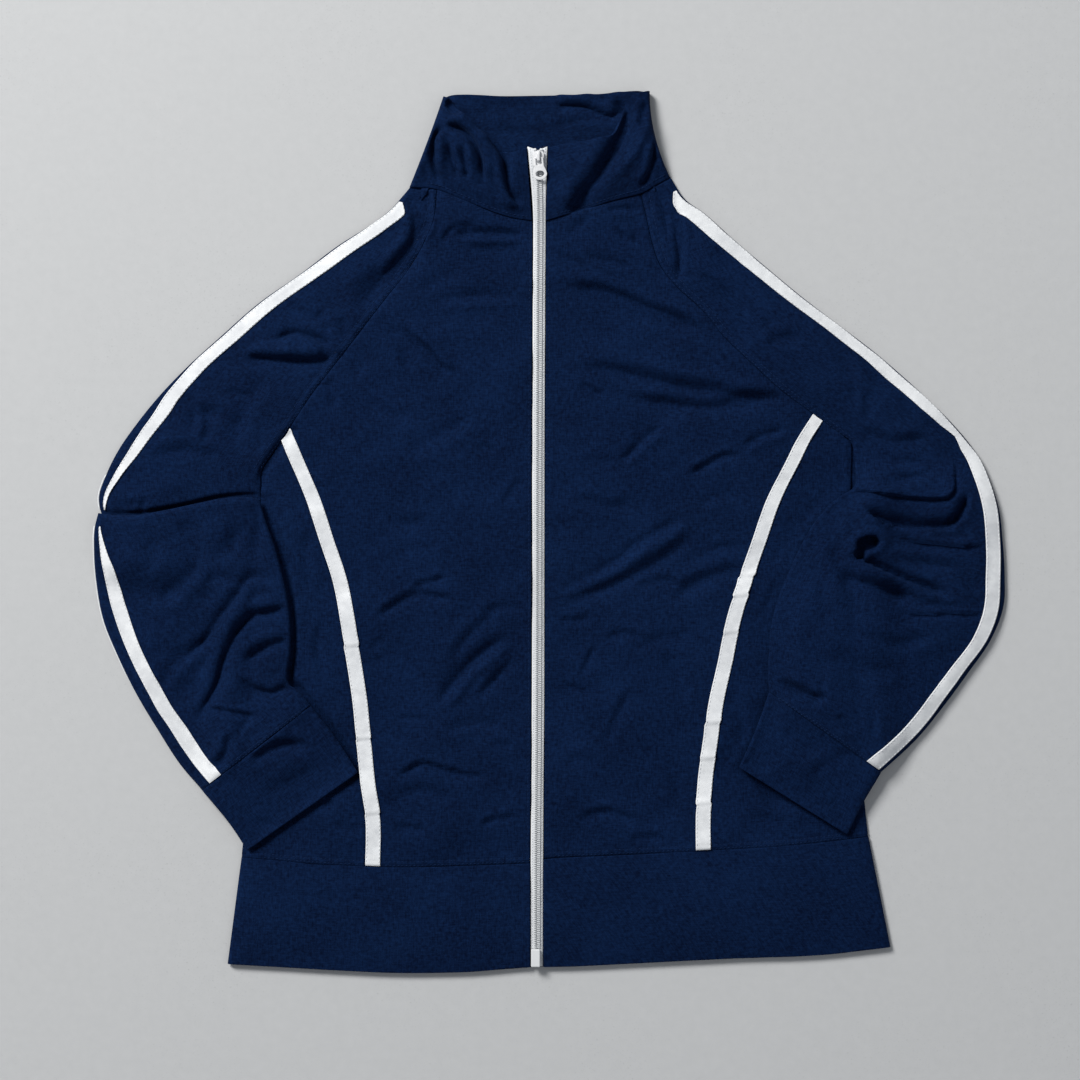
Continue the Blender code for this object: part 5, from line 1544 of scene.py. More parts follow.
UPPER_FOLDS = [
    Fold(((-114, 310), (-112.6, 284), (-110, 268), (-108, 254), (-109, 242), (-114, 230), (-124, 217),
          (-138, 205)), 5.4, 4.6, -0.3, 0.6, 0.12),
    Fold(((-112, 236), (-124, 219), (-138, 205), (-150, 190), (-158, 176)), 10.0, 1.8, -0.4, 0.0, 0.3),
    Ledge(((-109, 240), (-107.6, 256), (-108.6, 272), (-110.6, 290), (-112, 304)),
          0.6, 6.0, 2.2, 3.4, 0.14),
    Fold(((-101, 280), (-99.5, 266), (-100, 252), (-107, 238)), 2.8, 2.0, 0.4, 0.0, 0.12),
    Fold(((-250, 143), (-230, 141), (-208, 140), (-190, 139.5), (-176, 142)), 5.0, 3.0, 0.7, 1.0, 0.16),
    Fold(((-226, 156), (-212, 161.5), (-198, 160), (-186, 154), (-178, 147)), 3.6, 2.4, -0.6, 0.8),
    Fold(((-190, 182), (-186, 172), (-179, 162)), 3.6, 1.3, -0.4),
    Fold(((-266, 116), (-256, 113), (-246, 110)), 3.4, 1.1),
    Fold(((-285, 108), (-279, 87), (-283, 70)), 4.0, 1.3, -0.5),
    Fold(((-207, 108), (-207, 94)), 3.4, 0.9),
    Fold(((-238, 152), (-222, 149), (-204, 149)), 4.0, -0.9, 0),
    Fold(((-176, 148), (-164, 138), (-152, 126)), 4.4, 1.4, -0.4),
    Fold(((-182, 126), (-178, 112), (-176, 98)), 5.0, 1.3, 0.4),
    Fold(((-172, 176), (-168, 168), (-166, 158)), 5.0, 1.4),
    Fold(((-192, 138), (-187, 131), (-188, 124)), 4.0, 1.4, 0.3),
    Fold(((-205, 88), (-216, 76), (-226, 62), (-234, 48), (-238, 32)), 4.2, 1.8, -0.3),
    Fold(((-372, 14.8), (-352, 14.9), (-340, 15.2), (-330, 16.0), (-315, 18.4), (-300, 21.2),
          (-270, 27.6), (-256, 29.2), (-234, 29.4)), 1.8, 1.8, 0, 0.0, 0.02),
    Fold(((-330, 60), (-300, 66), (-268, 60)), 6.0, 1.0),
    Fold(((-250, 84), (-276, 96), (-300, 92)), 6.0, 0.9, -0.5),
    Fold(((-232, 126), (-252, 96), (-258, 66)), 7.0, 0.9),
    Fold(((-216, 190), (-200, 176), (-186, 172)), 5.0, 1.0),
    Fold(((-358, 17), (-350, 20), (-338, 22), (-326, 21)), 5.4, 1.1, 0.3),
    Fold(((-336, 14), (-332, 22), (-330, 30)), 3.0, 1.3, 0.5),
    Fold(((-305, 118), (-290, 96), (-296, 80)), 5.0, 1.0),
]
FOREARM_FOLDS = [
    Fold(((-283, -23), (-299, -40), (-322, -58)), 7.0, 1.7, 0.5),
    Fold(((-224, -41), (-246, -38), (-254, -50), (-266, -66), (-283, -89), (-295, -101), (-312, -119)),
          4.6, 2.6, 0.6, 1.0),
    Fold(((-213, -63), (-226, -65), (-241, -68), (-252, -77), (-260, -90), (-267, -106), (-272, -124),
          (-279, -138), (-287, -154)), 4.6, 2.8, -0.5, 1.0, 0.14),
    Fold(((-212, -90), (-226, -92), (-240, -99), (-250, -108)), 5.4, 2.6, -0.5, 0.6),
    Fold(((-254, -118), (-240, -129), (-226, -132), (-212, -126), (-203, -127)), 4.4, 2.2, 0.4, 0.5, 0.16),
    Fold(((-283, -145), (-268, -146), (-252, -149), (-238, -152)), 2.6, 1.5),
    Fold(((-263, -163), (-262, -176), (-268, -187), (-278, -196)), 4.4, 2.2, -0.5),
    Fold(((-332, -66), (-327, -83)), 4.0, 0.9),
    Fold(((-240, -58), (-250, -72), (-262, -88)), 4.0, 1.4, 0.5),
    Fold(((-262, -70), (-276, -88), (-290, -96)), 4.4, 1.4, -0.5),
    Fold(((-300, 10), (-290, -6), (-284, -26)), 8.0, 1.2, 0.5),
    Fold(((-262, 16), (-256, -2), (-262, -24)), 7.0, 1.1, -0.5),
    Fold(((-252, -44), (-268, -36), (-284, -44)), 5.0, 1.2, 0.4),
    Fold(((-330, 6), (-322, -14), (-330, -36)), 7.0, 1.0, 0.4),
    Fold(((-236, 10), (-240, -16)), 5.0, 0.9),
    Fold(((-296, -92), (-310, -110), (-318, -132)), 5.0, 1.1),
    Fold(((-300, -120), (-286, -136), (-284, -160)), 6.0, 0.9),
    Fold(((-312, -150), (-296, -160), (-282, -180)), 5.0, 0.9, -0.4),
    Fold(((-236, -146), (-250, -158), (-256, -170)), 4.0, 1.0),
]
SHOULDER_FOLDS = [
    Fold(((102, 288), (104, 268), (105.5, 250), (106.5, 230), (106, 206)), 3.2, 2.2, 0.3, 0.0, 0.08),
    Fold(((90, 282), (94, 262), (97, 240)), 4.4, 1.1, -0.4),
    Fold(((122, 212), (138, 200), (152, 186), (164, 172)), 4.0, 1.3),
    Fold(((130, 236), (152, 212), (172, 196)), 6.0, 0.9),
    Fold(((172, 176), (186, 160), (206, 148)), 4.4, 1.2, -0.4),
    Fold(((259, 114), (260, 102), (261, 90)), 4.4, 1.3, -0.4),
    Fold(((230, 150), (246, 128), (250, 104)), 6.0, 0.8),
    Fold(((176, 150), (190, 158), (208, 158)), 5.0, 1.0),
    Fold(((286, 116), (296, 96), (316, 82)), 5.0, 0.9),
    Fold(((250, 84), (280, 74), (312, 76)), 5.0, 1.0, 0.5),
    Fold(((278, 58), (292, 57), (308, 54)), 4.4, 1.3, -0.6),
]
RIGHT_FOLDS = [
    Ledge(((246, 33), (258, 33), (271, 31), (285, 29), (299, 27.5), (315, 27), (324, 28), (329, 33),
          (330.6, 45), (330, 59), (327, 69)), 1.3, 8.0, 2.0, 3.2, 0.07),
    Fold(((266, 37), (284, 41), (303, 47), (318, 52)), 4.4, 1.2, -0.7, 0.4),
    Fold(((262, 62), (290, 57), (310, 56)), 4.4, 1.4, -0.6),
    Fold(((318, 34), (322, 44), (322, 56)), 4.0, -0.8, 0),
    Ledge(((342, 34), (340, 16), (332, 5.4), (310, 1.6), (296, 1.8), (283, 3.6), (268, 9), (254, 19)),
          1.0, 6.0, 6.2, 6.6, 0.16, 0.8),
    Ledge(((283, -3), (299, -8), (317, -11), (333, -12), (357, -10)), 1.0, 5.0, 2.0, 3.6, 0.2),
    Pit(258.5, -9.5, 9.4, 6.2, 10.0, 6.0, 1.0),
    Pit(253.0, -16.0, 5.2, 6.4, -10.0, 5.0, 0.4),
    Fold(((244, -18), (258, -24.6), (272, -31), (291, -39), (307, -45.4), (328, -54)),
          3.6, 5.6, -0.5, 0.9, 0.2),
    Fold(((239, -28), (246, -39), (262, -44.6), (279, -49), (298, -57)), 5.4, 3.8, 0.3, 0.4, 0.24),
    Ledge(((284, -63), (299, -67), (327, -66.6), (358, -69)), 0.7, 4.0, 1.6, 3.0, 0.2),
    Fold(((316, -63), (328, -61), (340, -62)), 3.0, 1.2, 0.3),
    Fold(((224, 16), (228, 0), (236, -26), (246, -56)), 5.0, 1.6, 0.5),
    Fold(((233, 16), (236, -4), (240, -18)), 3.2, 1.6, -0.5),
    Fold(((210, -24), (222, -50), (226, -82)), 7.0, 1.0, 0.4),
    Fold(((186, -118), (197, -127), (210, -133), (224, -138)), 4.4, 3.4, 0.4),
    Fold(((219, -120), (224, -140)), 3.2, 1.6, 0.5),
    Fold(((233, -149), (247, -165)), 3.4, 1.6, -0.5),
    Fold(((260, -140), (266, -169)), 3.6, 1.6),
    Fold(((250, -82), (280, -92), (312, -86)), 6.0, 1.0),
    Fold(((226, -96), (256, -112), (288, -112)), 7.0, 1.0, -0.4),
    Fold(((300, -96), (316, -112), (318, -132)), 6.0, 0.8),
    Fold(((204, -84), (212, -100), (230, -110)), 5.0, 0.9),
    Fold(((272, -20), (300, -26), (336, -30)), 5.0, 1.2, 0.6),
    Fold(((330, -30), (346, -46), (350, -64)), 5.0, 1.0),
    Ledge(((224, 23), (229, 31), (238, 33.5), (248, 34)), 0.9, 4.0, 1.6, 3.0, 0.2),
    Pit(226.0, 23.6, 4.2, 3.4, 10.0, 4.6, 0.8),
]


@dataclass
class Sleeve:
    """A flat tube from one table of sections, with creases laid on its upper side."""
    name: str
    line: Curve
    rings: Sequence[Array]
    folds: Sequence[Fold | Pit]
    nodes: tuple[str, ...]
    wall: float = CLOTH.wall
    thick: float = CLOTH.single
    loft: float = 5.0
    round_out: float = 5.0
    round_in: float = 4.6
    taped: bool = True
    shut_first: bool = False
    flat_in: float = 0.0
    columns: int = 44
    edge_fade: float = 6.0
    beside: bool = False
    end_loft: float = 1.0
    fine: tuple[float, float] = (0.0, 0.0)
    end_rows: tuple[float, ...] = (1.1, 3.6)
    widths: tuple[Point, ...] = ((0.0, 12.0),)
    peep: tuple[Point, ...] = ((0.0, 0.0),)

    def row(self, along: Array) -> tuple[Array, ...]:
        """Outer point, way across, width, margin, over and closed of each row."""
        rows = self.line.at(along)
        step = rows[:, 2:4] - rows[:, :2]
        span = np.linalg.norm(step, axis=-1)
        margin = np.maximum(rows[:, 4], 1.4)
        over, closed = np.clip(rows[:, 5:7], 0, 1).T
        return rows[:, :2], step / span[:, None], span, margin, over, closed

    def away(self, along: Array) -> tuple[Array, Array]:
        """Distances from the overarm fold of every column, and 1 for those on top and -1 for those under."""
        _, _, span, margin, _, closed = self.row(along)
        span, margin, inset = span[:, None], margin[:, None], (CLOTH.seam_inset * (1 - closed))[:, None]
        at_fold = margin * np.array([0.8, 0.58, 0.38, 0.22, 0.1])
        tape = margin + np.array([15.0, 13.2, 12.0, 10.8, 9.0, 7.0, 5.0, 3.0, 1.2, 0.0])
        edge = span - (inset + np.array([0.0, 0.35, 0.9, 1.6, 2.4, 3.2, 4.5, 6.0, 7.5, 9.5, 12.0]))
        shares = (np.arange(self.columns) + 1) / (self.columns + 1)
        middle = edge[:, -1:] + (tape[:, :1] - edge[:, -1:]) * shares
        top = np.concatenate([edge, middle, tape, at_fold, 0 * span], axis=1)
        back = np.maximum(1.6, CLOTH.tapes_apart - margin)
        near = back * np.array([0.07, 0.18, 0.36, 0.62, 1.0])
        far = back + np.array([3.0, 6.0, 9.0, 12.0, 14.0])
        rest = far[:, -1:] + (edge[:, -1:] - far[:, -1:]) * ((np.arange(9) + 1) / 10)
        under = np.concatenate([near, far, rest, edge[:, [10, 7, 5, 3, 2, 1, 0]]], axis=1)
        sign = np.concatenate([np.ones(top.shape[1]), -np.ones(under.shape[1])])
        return np.concatenate([top, under], axis=1), sign

    def at(self, along: Array, away: Array, face: Array) -> Array:
        """Points of the sleeve's outer side.

        Args:
            along: Distances along the overarm fold, one for each row.
            away: Distances from the overarm fold, rows by columns.
            face: 1 for a column on top and -1 for one under.

        Returns:
            Rows by columns by 3.
        """
        outer, way, span, margin, over, closed = self.row(along)
        plan = outer[:, None] + way[:, None] * away[..., None]
        if self.shut_first:
            bow = np.interp(away / span[:, None], *zip(*FOREARM_BOW))
            plan[..., 1] += bow * np.exp(-(along / 26.0) ** 2)[:, None]
        over, closed = over[:, None], closed[:, None]
        lying = GROUND.lying_on(plan, self.rings) if over.max() > 0 else np.zeros(away.shape)
        bottom = over * lying
        share = away / span[:, None]
        free = GROUND.under_front(plan) + self.wall
        if self.beside:
            free = free + GROUND.crevice(plan) * (face > 0)
        flat = self.end_loft + (1 - self.end_loft) * (1 - smooth(along, 0.0, self.line.length))[:, None]
        full = self.loft * (1 - np.abs(2 * share - 1) ** 4)
        rest = bottom + 2 * self.wall + (CLOTH.lay + CLOTH.back_tape_lift + full) * flat
        top = (1 - over) * free + over * rest
        if self.taped:
            back_in = np.maximum(1.6, CLOTH.tapes_apart - margin)[:, None] + CLOTH.tape_width
            bottom = bottom + CLOTH.back_tape_lift * (1 - smooth(away, back_in, back_in + 16.0))
        near_in = span[:, None] - away
        on_tape = smooth(away, margin[:, None] + 4.0, margin[:, None] + 22.0)
        mask = (0.18 + 0.82 * on_tape) * (1 - closed * (1 - smooth(near_in, 0.0, self.edge_fade)))
        if self.shut_first:
            mask = mask * smooth(along, 0.0, 7.0)[:, None]
        relief = RELIEF.arm(plan, self.folds) * over[..., None]
        if over.min() < 1:
            relief = relief + RELIEF.body(plan) * (1 - over[..., None])
        relief = relief * (mask * (face > 0))[..., None]
        top = top + relief[..., 2]
        if over.max() > 0 and self.folds:
            deep = np.max([within(plan, ring) for ring in self.rings], axis=0)
            lowest = over * (lying * smooth(deep, -9.0, -1.0)) + (1 - over) * bottom
            bottom = np.minimum(bottom, np.maximum(top - 2 * self.thick - CLOTH.hollow, lowest))
        top = np.maximum(top, bottom + 2 * self.thick + CLOTH.hollow)
        if self.flat_in:
            pressed = over * (1 - smooth(near_in, 0.0, self.flat_in))
            top = top - (top - bottom - 2 * self.thick - CLOTH.hollow) * 0.8 * pressed
        for seam, gap, amount in self.seams(along, near_in, closed):
            top = top + seam.shape(gap) * amount
        part = rounding(away, self.round_out) * (1 - closed * (1 - rounding(near_in, self.round_in)))
        if self.shut_first:
            part = part * rounding(along, 3.4)[:, None]
        centre, half = (top + bottom) / 2, (top - bottom) / 2
        if self.taped:
            tucked = smooth(along - self.line.length, -0.2, 1.4)
            if not self.shut_first:
                tucked = tucked + smooth(-along, -0.2, 1.4)
            half = half - np.minimum(1.9, 0.5 * half) * tucked[:, None]
            centre = centre - 0.5 * np.minimum(1.9, 0.5 * half) * tucked[:, None]
        height = centre + face * half * part
        return np.concatenate([plan + relief[..., :2], height[..., None]], axis=-1)

    def seams(self, along: Array, near_in: Array, closed: Array) -> list[tuple[Seam, Array, Array | float]]:
        """The raglan seam where the sleeve is open, and the cuff's seam at its end."""
        nothing = np.zeros((2, 2))
        found = [(Seam(nothing, (1.3, 6.0)), near_in, 1 - closed)]
        if self.end_rows:
            to_end = (self.line.length - along)[:, None] + 0 * near_in
            found.append((Seam(nothing, self.end_rows), to_end, 1.0))
        return found

    def rows(self) -> Array:
        """Distances along the overarm fold of every row."""
        start = (-2.6, -1.6, -0.8, 0.0, 0.8, 1.8, 2.8)
        end = (-1.8, -1.0, -0.4, 0.4, 1.1, 1.9, 2.8, 3.7, 4.8, 6.4, 8.5)
        if self.shut_first:
            start = (0.0, 0.25, 0.7, 1.4, 2.4, 3.6, 5.0, 7.0)
        if not self.taped:
            start = (CLOTH.seam_inset, 1.1, 1.9, 2.8)
            end = (*start, 3.7)
        along = steps(self.line.length, 2.4, start, end)
        extra = along[:-1][(along[:-1] > self.fine[0]) & (along[:-1] < self.fine[1])] + 1.2
        return np.unique(np.concatenate([along, extra]).round(3))

    def cloth(self, palette: Palette, rests_on: Sequence[str]) -> None:
        """Makes the sleeve's cloth."""
        along = self.rows()
        away, face = self.away(along)
        grid = self.at(along, away, face)
        closed = self.row(along)[5]
        shut = (closed > 0.97).astype(float)
        mesh = cloth_mesh(self.name, grid, self.thick, shut=shut, shut_first=self.shut_first)
        made = piece(self.name + "_cloth", mesh, palette.knit, self.nodes[:1])
        declare(made, grid)

    def tapes(self, palette: Palette, stretch: tuple[float, float]) -> list[Array]:
        """Lays the two woven tapes beside the overarm fold; returns strips for their stitching."""
        along = steps(stretch[1] - stretch[0], 2.8, (), ()) + stretch[0]
        outer = self.row(along)[0]
        margin = (self.row(along)[3] + Swell(47, 26.0, 0.7).at(outer))[:, None]
        shares = np.array([1.0, 0.94, 0.84, 0.67, 0.5, 0.33, 0.16, 0.06, 0.0])
        front = np.interp(along, *zip(*self.widths))[:, None] * shares
        margin = np.maximum(margin, 1.2)
        back = np.maximum(1.6, CLOTH.tapes_apart - margin)
        back = back - (back + 1.0) * np.interp(along, *zip(*self.peep))[:, None]
        pucker = Swell(41, 7.0, 0.34)
        strips = []
        tapes = (("front", margin + front, 1.0), ("back", back + CLOTH.tape_width * shares, -1.0))
        for word, away, sign in tapes:
            if sign < 0:
                away = away[:, ::-1]
            shown = along >= self.widths[0][0] - 0.01 if sign > 0 else along >= 0
            grid = self.at(along[shown], away[shown], np.full(len(shares), sign))
            if sign > 0:
                grid[..., 2] += np.clip(pucker.at(grid[..., :2]), -0.1, 0.4)
            out = normals(grid)
            if sign < 0:
                out = -np.abs(out[..., 2:]) / out[..., 2:] * out
            outer = grid + out * (CLOTH.tape_lift + CLOTH.tape - (0.1 if sign < 0 else 0.0))
            node = [n for n in self.nodes if f"tape_{word}" in n]
            mesh = cloth_mesh(node[0], outer if sign > 0 else outer - out * CLOTH.tape, CLOTH.tape)
            made = piece(node[0] + "_woven", mesh, palette.tape, node)
            declare(made, outer)
            if sign > 0:
                strips += [outer[:, 0:3], outer[:, -3:]]
        return strips

    def raglan_stitches(self, until: float) -> list[Array]:
        """Narrow grids along the two rows of topstitching beside the raglan seam."""
        along = np.arange(4.0, until, 3.0)
        span = self.row(along)[2][:, None]
        strips = []
        for row in (1.3, 6.0):
            away = span - (CLOTH.seam_inset + row + np.array([-0.5, 0.0, 0.5]))
            strips.append(self.at(along, away, np.ones(3)))
        return strips

    def cuff_stitches(self) -> list[Array]:
        """Narrow grids along the rows of topstitching above the cuff's seam."""
        strips = []
        for row in self.end_rows:
            along = self.line.length - row + np.array([-0.5, 0.0, 0.5])
            span = float(self.row(np.array([self.line.length]))[2][0])
            away = np.arange(5.0, span - 4.0, 3.0)
            grid = self.at(along, np.broadcast_to(away, (3, len(away))), np.ones(len(away)))
            strips.append(np.swapaxes(grid, 0, 1))
        return strips


@dataclass
class Cuff(Sleeve):
    """A doubled cuff, a short flat tube with an open end."""
    wall: float = CLOTH.band
    thick: float = 2.0
    loft: float = 3.0
    end_loft: float = 0.15
    round_in: float = 3.0
    taped: bool = False
    end_rows: tuple[float, ...] = ()

    def seams(self, along: Array, near_in: Array, closed: Array) -> list[tuple[Seam, Array, Array | float]]:
        """The seam to the sleeve at its start."""
        return [(Seam(np.zeros((2, 2))), along[:, None] + 0 * near_in, 1.0)]


CUFF_FOLDS = [
    Fold(((-244, -188), (-221, -174), (-195, -175)), 5.0, 2.2, 0.5, 0.6),
    Fold(((-214, -160), (-206, -172)), 5.0, 1.0, -0.4),
    Fold(((-248, -236), (-219, -241)), 4.0, 0.9),
    Fold(((-236, -214), (-206, -204), (-186, -192)), 7.0, 0.7),
    Fold(((168, -207), (198, -214)), 4.4, 1.3, -0.5),
    Fold(((212, -200), (232, -186), (246, -184)), 6.0, 0.9),
    Fold(((190, -160), (206, -176), (226, -182)), 6.0, 0.9, -0.4),
    Fold(((214, -226), (236, -224)), 4.0, 0.8),
]


@dataclass
class Sleeves:
    """Both sleeves with their tapes, cuffs and stitching."""
    palette: Palette

    @staticmethod
    def from_end(end: float, steps_back: Sequence[Point]) -> tuple[Point, ...]:
        """Pairs of distance and value, the distances taken from a point of the sleeve."""
        return tuple((end + away, value) for away, value in steps_back)

    def build(self) -> None:
        """Makes every piece of both sleeves."""
        parted = float(GROUND.upper.knots[TAPES_PART_LEFT]) + 9.0
        kinked = float(GROUND.right.knots[TAPE_CORNER_RIGHT + 1]) - 4.0
        into_elbow = ((-95, 12), (-75, 11), (-48, 8.5), (-32, 6.2), (-20, 4.5), (-8, 2.8), (0, 0.8))
        round_kink = ((-34, 12.4), (-14, 9.4), (-2, 5.8), (5, 7.6), (14, 11), (30, 12))
        upper = Sleeve("sleeve_left_upper", GROUND.upper, (GROUND.body,), UPPER_FOLDS,
                       ("sleeve_left_upper", "tape_front_upper_left", "tape_back_upper_left"),
                       end_rows=(), beside=True,
                       fine=(float(GROUND.upper.knots[9]), float(GROUND.upper.knots[13])),
                       widths=((13, 2.5), (23, 12)) + self.from_end(parted, into_elbow),
                       peep=self.from_end(parted, ((-42, 0), (-26, 1), (0, 1))))
        lower = Sleeve("sleeve_left_forearm", GROUND.forearm, (GROUND.body, GROUND.arm), FOREARM_FOLDS,
                       ("sleeve_left_forearm", "tape_front_forearm_left", "tape_back_forearm_left"),
                       shut_first=True, round_in=2.6,
                       widths=((11, 0.8), (26, 4), (34, 5.8), (45, 9), (63, 11.2), (80, 12)),
                       peep=((0, 1), (120, 1), (170, 0)))
        whole = Sleeve("sleeve_right", GROUND.right, (GROUND.body,), RIGHT_FOLDS,
                       ("sleeve_right", "tape_front_right", "tape_back_right"), fine=(285.0, 395.0),
                       flat_in=26.0, columns=58, loft=7.0,
                       widths=((9, 1.5), (20, 9), (30, 12)) + self.from_end(kinked, round_kink))
        upper.cloth(self.palette, ["floor"])
        lower.cloth(self.palette, ["sleeve_left_upper", "back"])
        whole.cloth(self.palette, ["floor", "front_side_right"])
        for side, line, flat_in in ((Side.LEFT, GROUND.cuffs[0], 0.0), (Side.RIGHT, GROUND.cuffs[1], 22.0)):
            name = f"cuff_{side.word}"
            cuff = Cuff(name, line, (GROUND.body,), CUFF_FOLDS, (name,), flat_in=flat_in)
            cuff.cloth(self.palette, [f"front_side_{side.word}"])
        strips = upper.tapes(self.palette, (2.0, parted))
        strips += lower.tapes(self.palette, (11.0, lower.line.length - 0.6))
        strips += whole.tapes(self.palette, (2.0, whole.line.length - 0.6))
        Stitching(radius=0.24).sew("sleeve_tape_stitching", strips, self.palette.white_thread)
        seams = upper.raglan_stitches(float(upper.line.knots[ARMPIT_LEFT]))
        seams += whole.raglan_stitches(float(whole.line.knots[ARMPIT_RIGHT]))
        seams += lower.cuff_stitches() + whole.cuff_stitches()
        Stitching().sew("sleeve_topstitching", seams, self.palette.thread)


# ---------------------------------------------------------------- collar and hem band

COLLAR_FRONT_FOLDS = [
    Fold(((60, 356), (63, 341), (58, 324), (49, 308), (38, 290), (27, 274), (16, 258)),
          7.6, 6.4, -0.4, 2.0, 0.1),
    Fold(((-60, 331), (-50, 323), (-45, 315), (-39, 306), (-37, 294), (-35, 283), (-31, 273),
          (-22, 266)), 3.4, 6.4, -0.5, 1.4, 0.14),
    Fold(((-86, 330), (-93, 324), (-95, 310), (-93, 294), (-88, 284)), 3.4, 6.0, 0.5, 1.2, 0.2),
    Fold(((-88, 330), (-76, 330), (-68, 325), (-61, 316), (-56, 305), (-54, 290), (-50, 282)),
          3.0, 5.0, 0.6, 1.2, 0.2),
    Fold(((-84, 318), (-79, 302), (-74, 288)), 2.8, 4.4, 0.6, 0.8),
    Fold(((-72, 316), (-69, 302), (-67, 286)), 2.8, 3.6, 0.6, 0.6),
    Fold(((-104, 300), (-100, 290), (-98, 284)), 3.6, 2.4, 0.5),
    Fold(((86, 320), (84, 304), (79, 290), (73, 281)), 2.8, 4.6, -0.5, 1.0, 0.2),
    Pit(-79.0, 345.5, 7.4, 4.2, -45.0, 4.6, 0.3),
    Fold(((80, 352), (76, 340), (74, 328)), 4.4, 3.4, -0.5),
    Fold(((84, 346), (78, 326), (66, 304), (50, 286)), 5.0, -2.0, 0),
    Fold(((20, 304), (25, 288), (20, 270)), 6.0, 1.4),
    Fold(((-62, 286), (-48, 280), (-38, 268)), 4.0, 1.6, -0.5),
    Fold(((2, 296), (8, 280), (4, 264)), 5.0, 1.2),
    Fold(((-84, 350), (-70, 338), (-56, 327), (-46, 315)), 4.0, -3.0, 0),
    Fold(((66, 352), (58, 338), (50, 326)), 4.0, -2.4, 0),
    Fold(((92, 310), (90, 300), (88, 290)), 4.0, 1.4, 0.4),
]
COLLAR_BACK_FOLDS = [
    Fold(((4, 348), (16, 349), (28, 348), (38, 344), (50, 340), (57, 338)), 3.6, 5.4, 0.6, 1.6, 0.12),
    Pit(57.0, 346.5, 6.6, 5.4, -60.0, 4.6, 0.2),
    Fold(((-4, 330), (14, 334), (33, 338), (50, 336)), 4.0, 1.6, 0.4, 0.6),
    Fold(((-60, 345), (-36, 348), (-10, 345)), 6.0, 1.2, 0.5),
    Fold(((-46, 330), (-26, 327), (-10, 331)), 5.0, 1.4, -0.5),
    Fold(((-70, 344), (-64, 336), (-56, 326)), 4.0, 2.2, 0.5),
    Fold(((60, 350), (64, 342), (66, 332)), 5.0, 3.0, 0.4),
]
HEM_FOLDS = [
    Fold(((88, -296), (98, -288), (110, -284)), 4.0, 0.8),
    Fold(((-24, -300), (-28, -316), (-28, -330)), 4.0, 0.7),
    Fold(((-244, -284), (-232, -296), (-224, -308)), 4.0, 0.9),
    Fold(((-190, -296), (-170, -302), (-150, -298)), 6.0, 0.6),
    Fold(((40, -300), (60, -306), (84, -304)), 6.0, 0.6),
    Fold(((150, -290), (170, -300), (200, -298)), 6.0, 0.6, -0.4),
    Fold(((-110, -320), (-84, -316), (-60, -322)), 6.0, 0.5),
    Fold(((220, -280), (236, -290), (250, -292)), 5.0, 0.7),
]


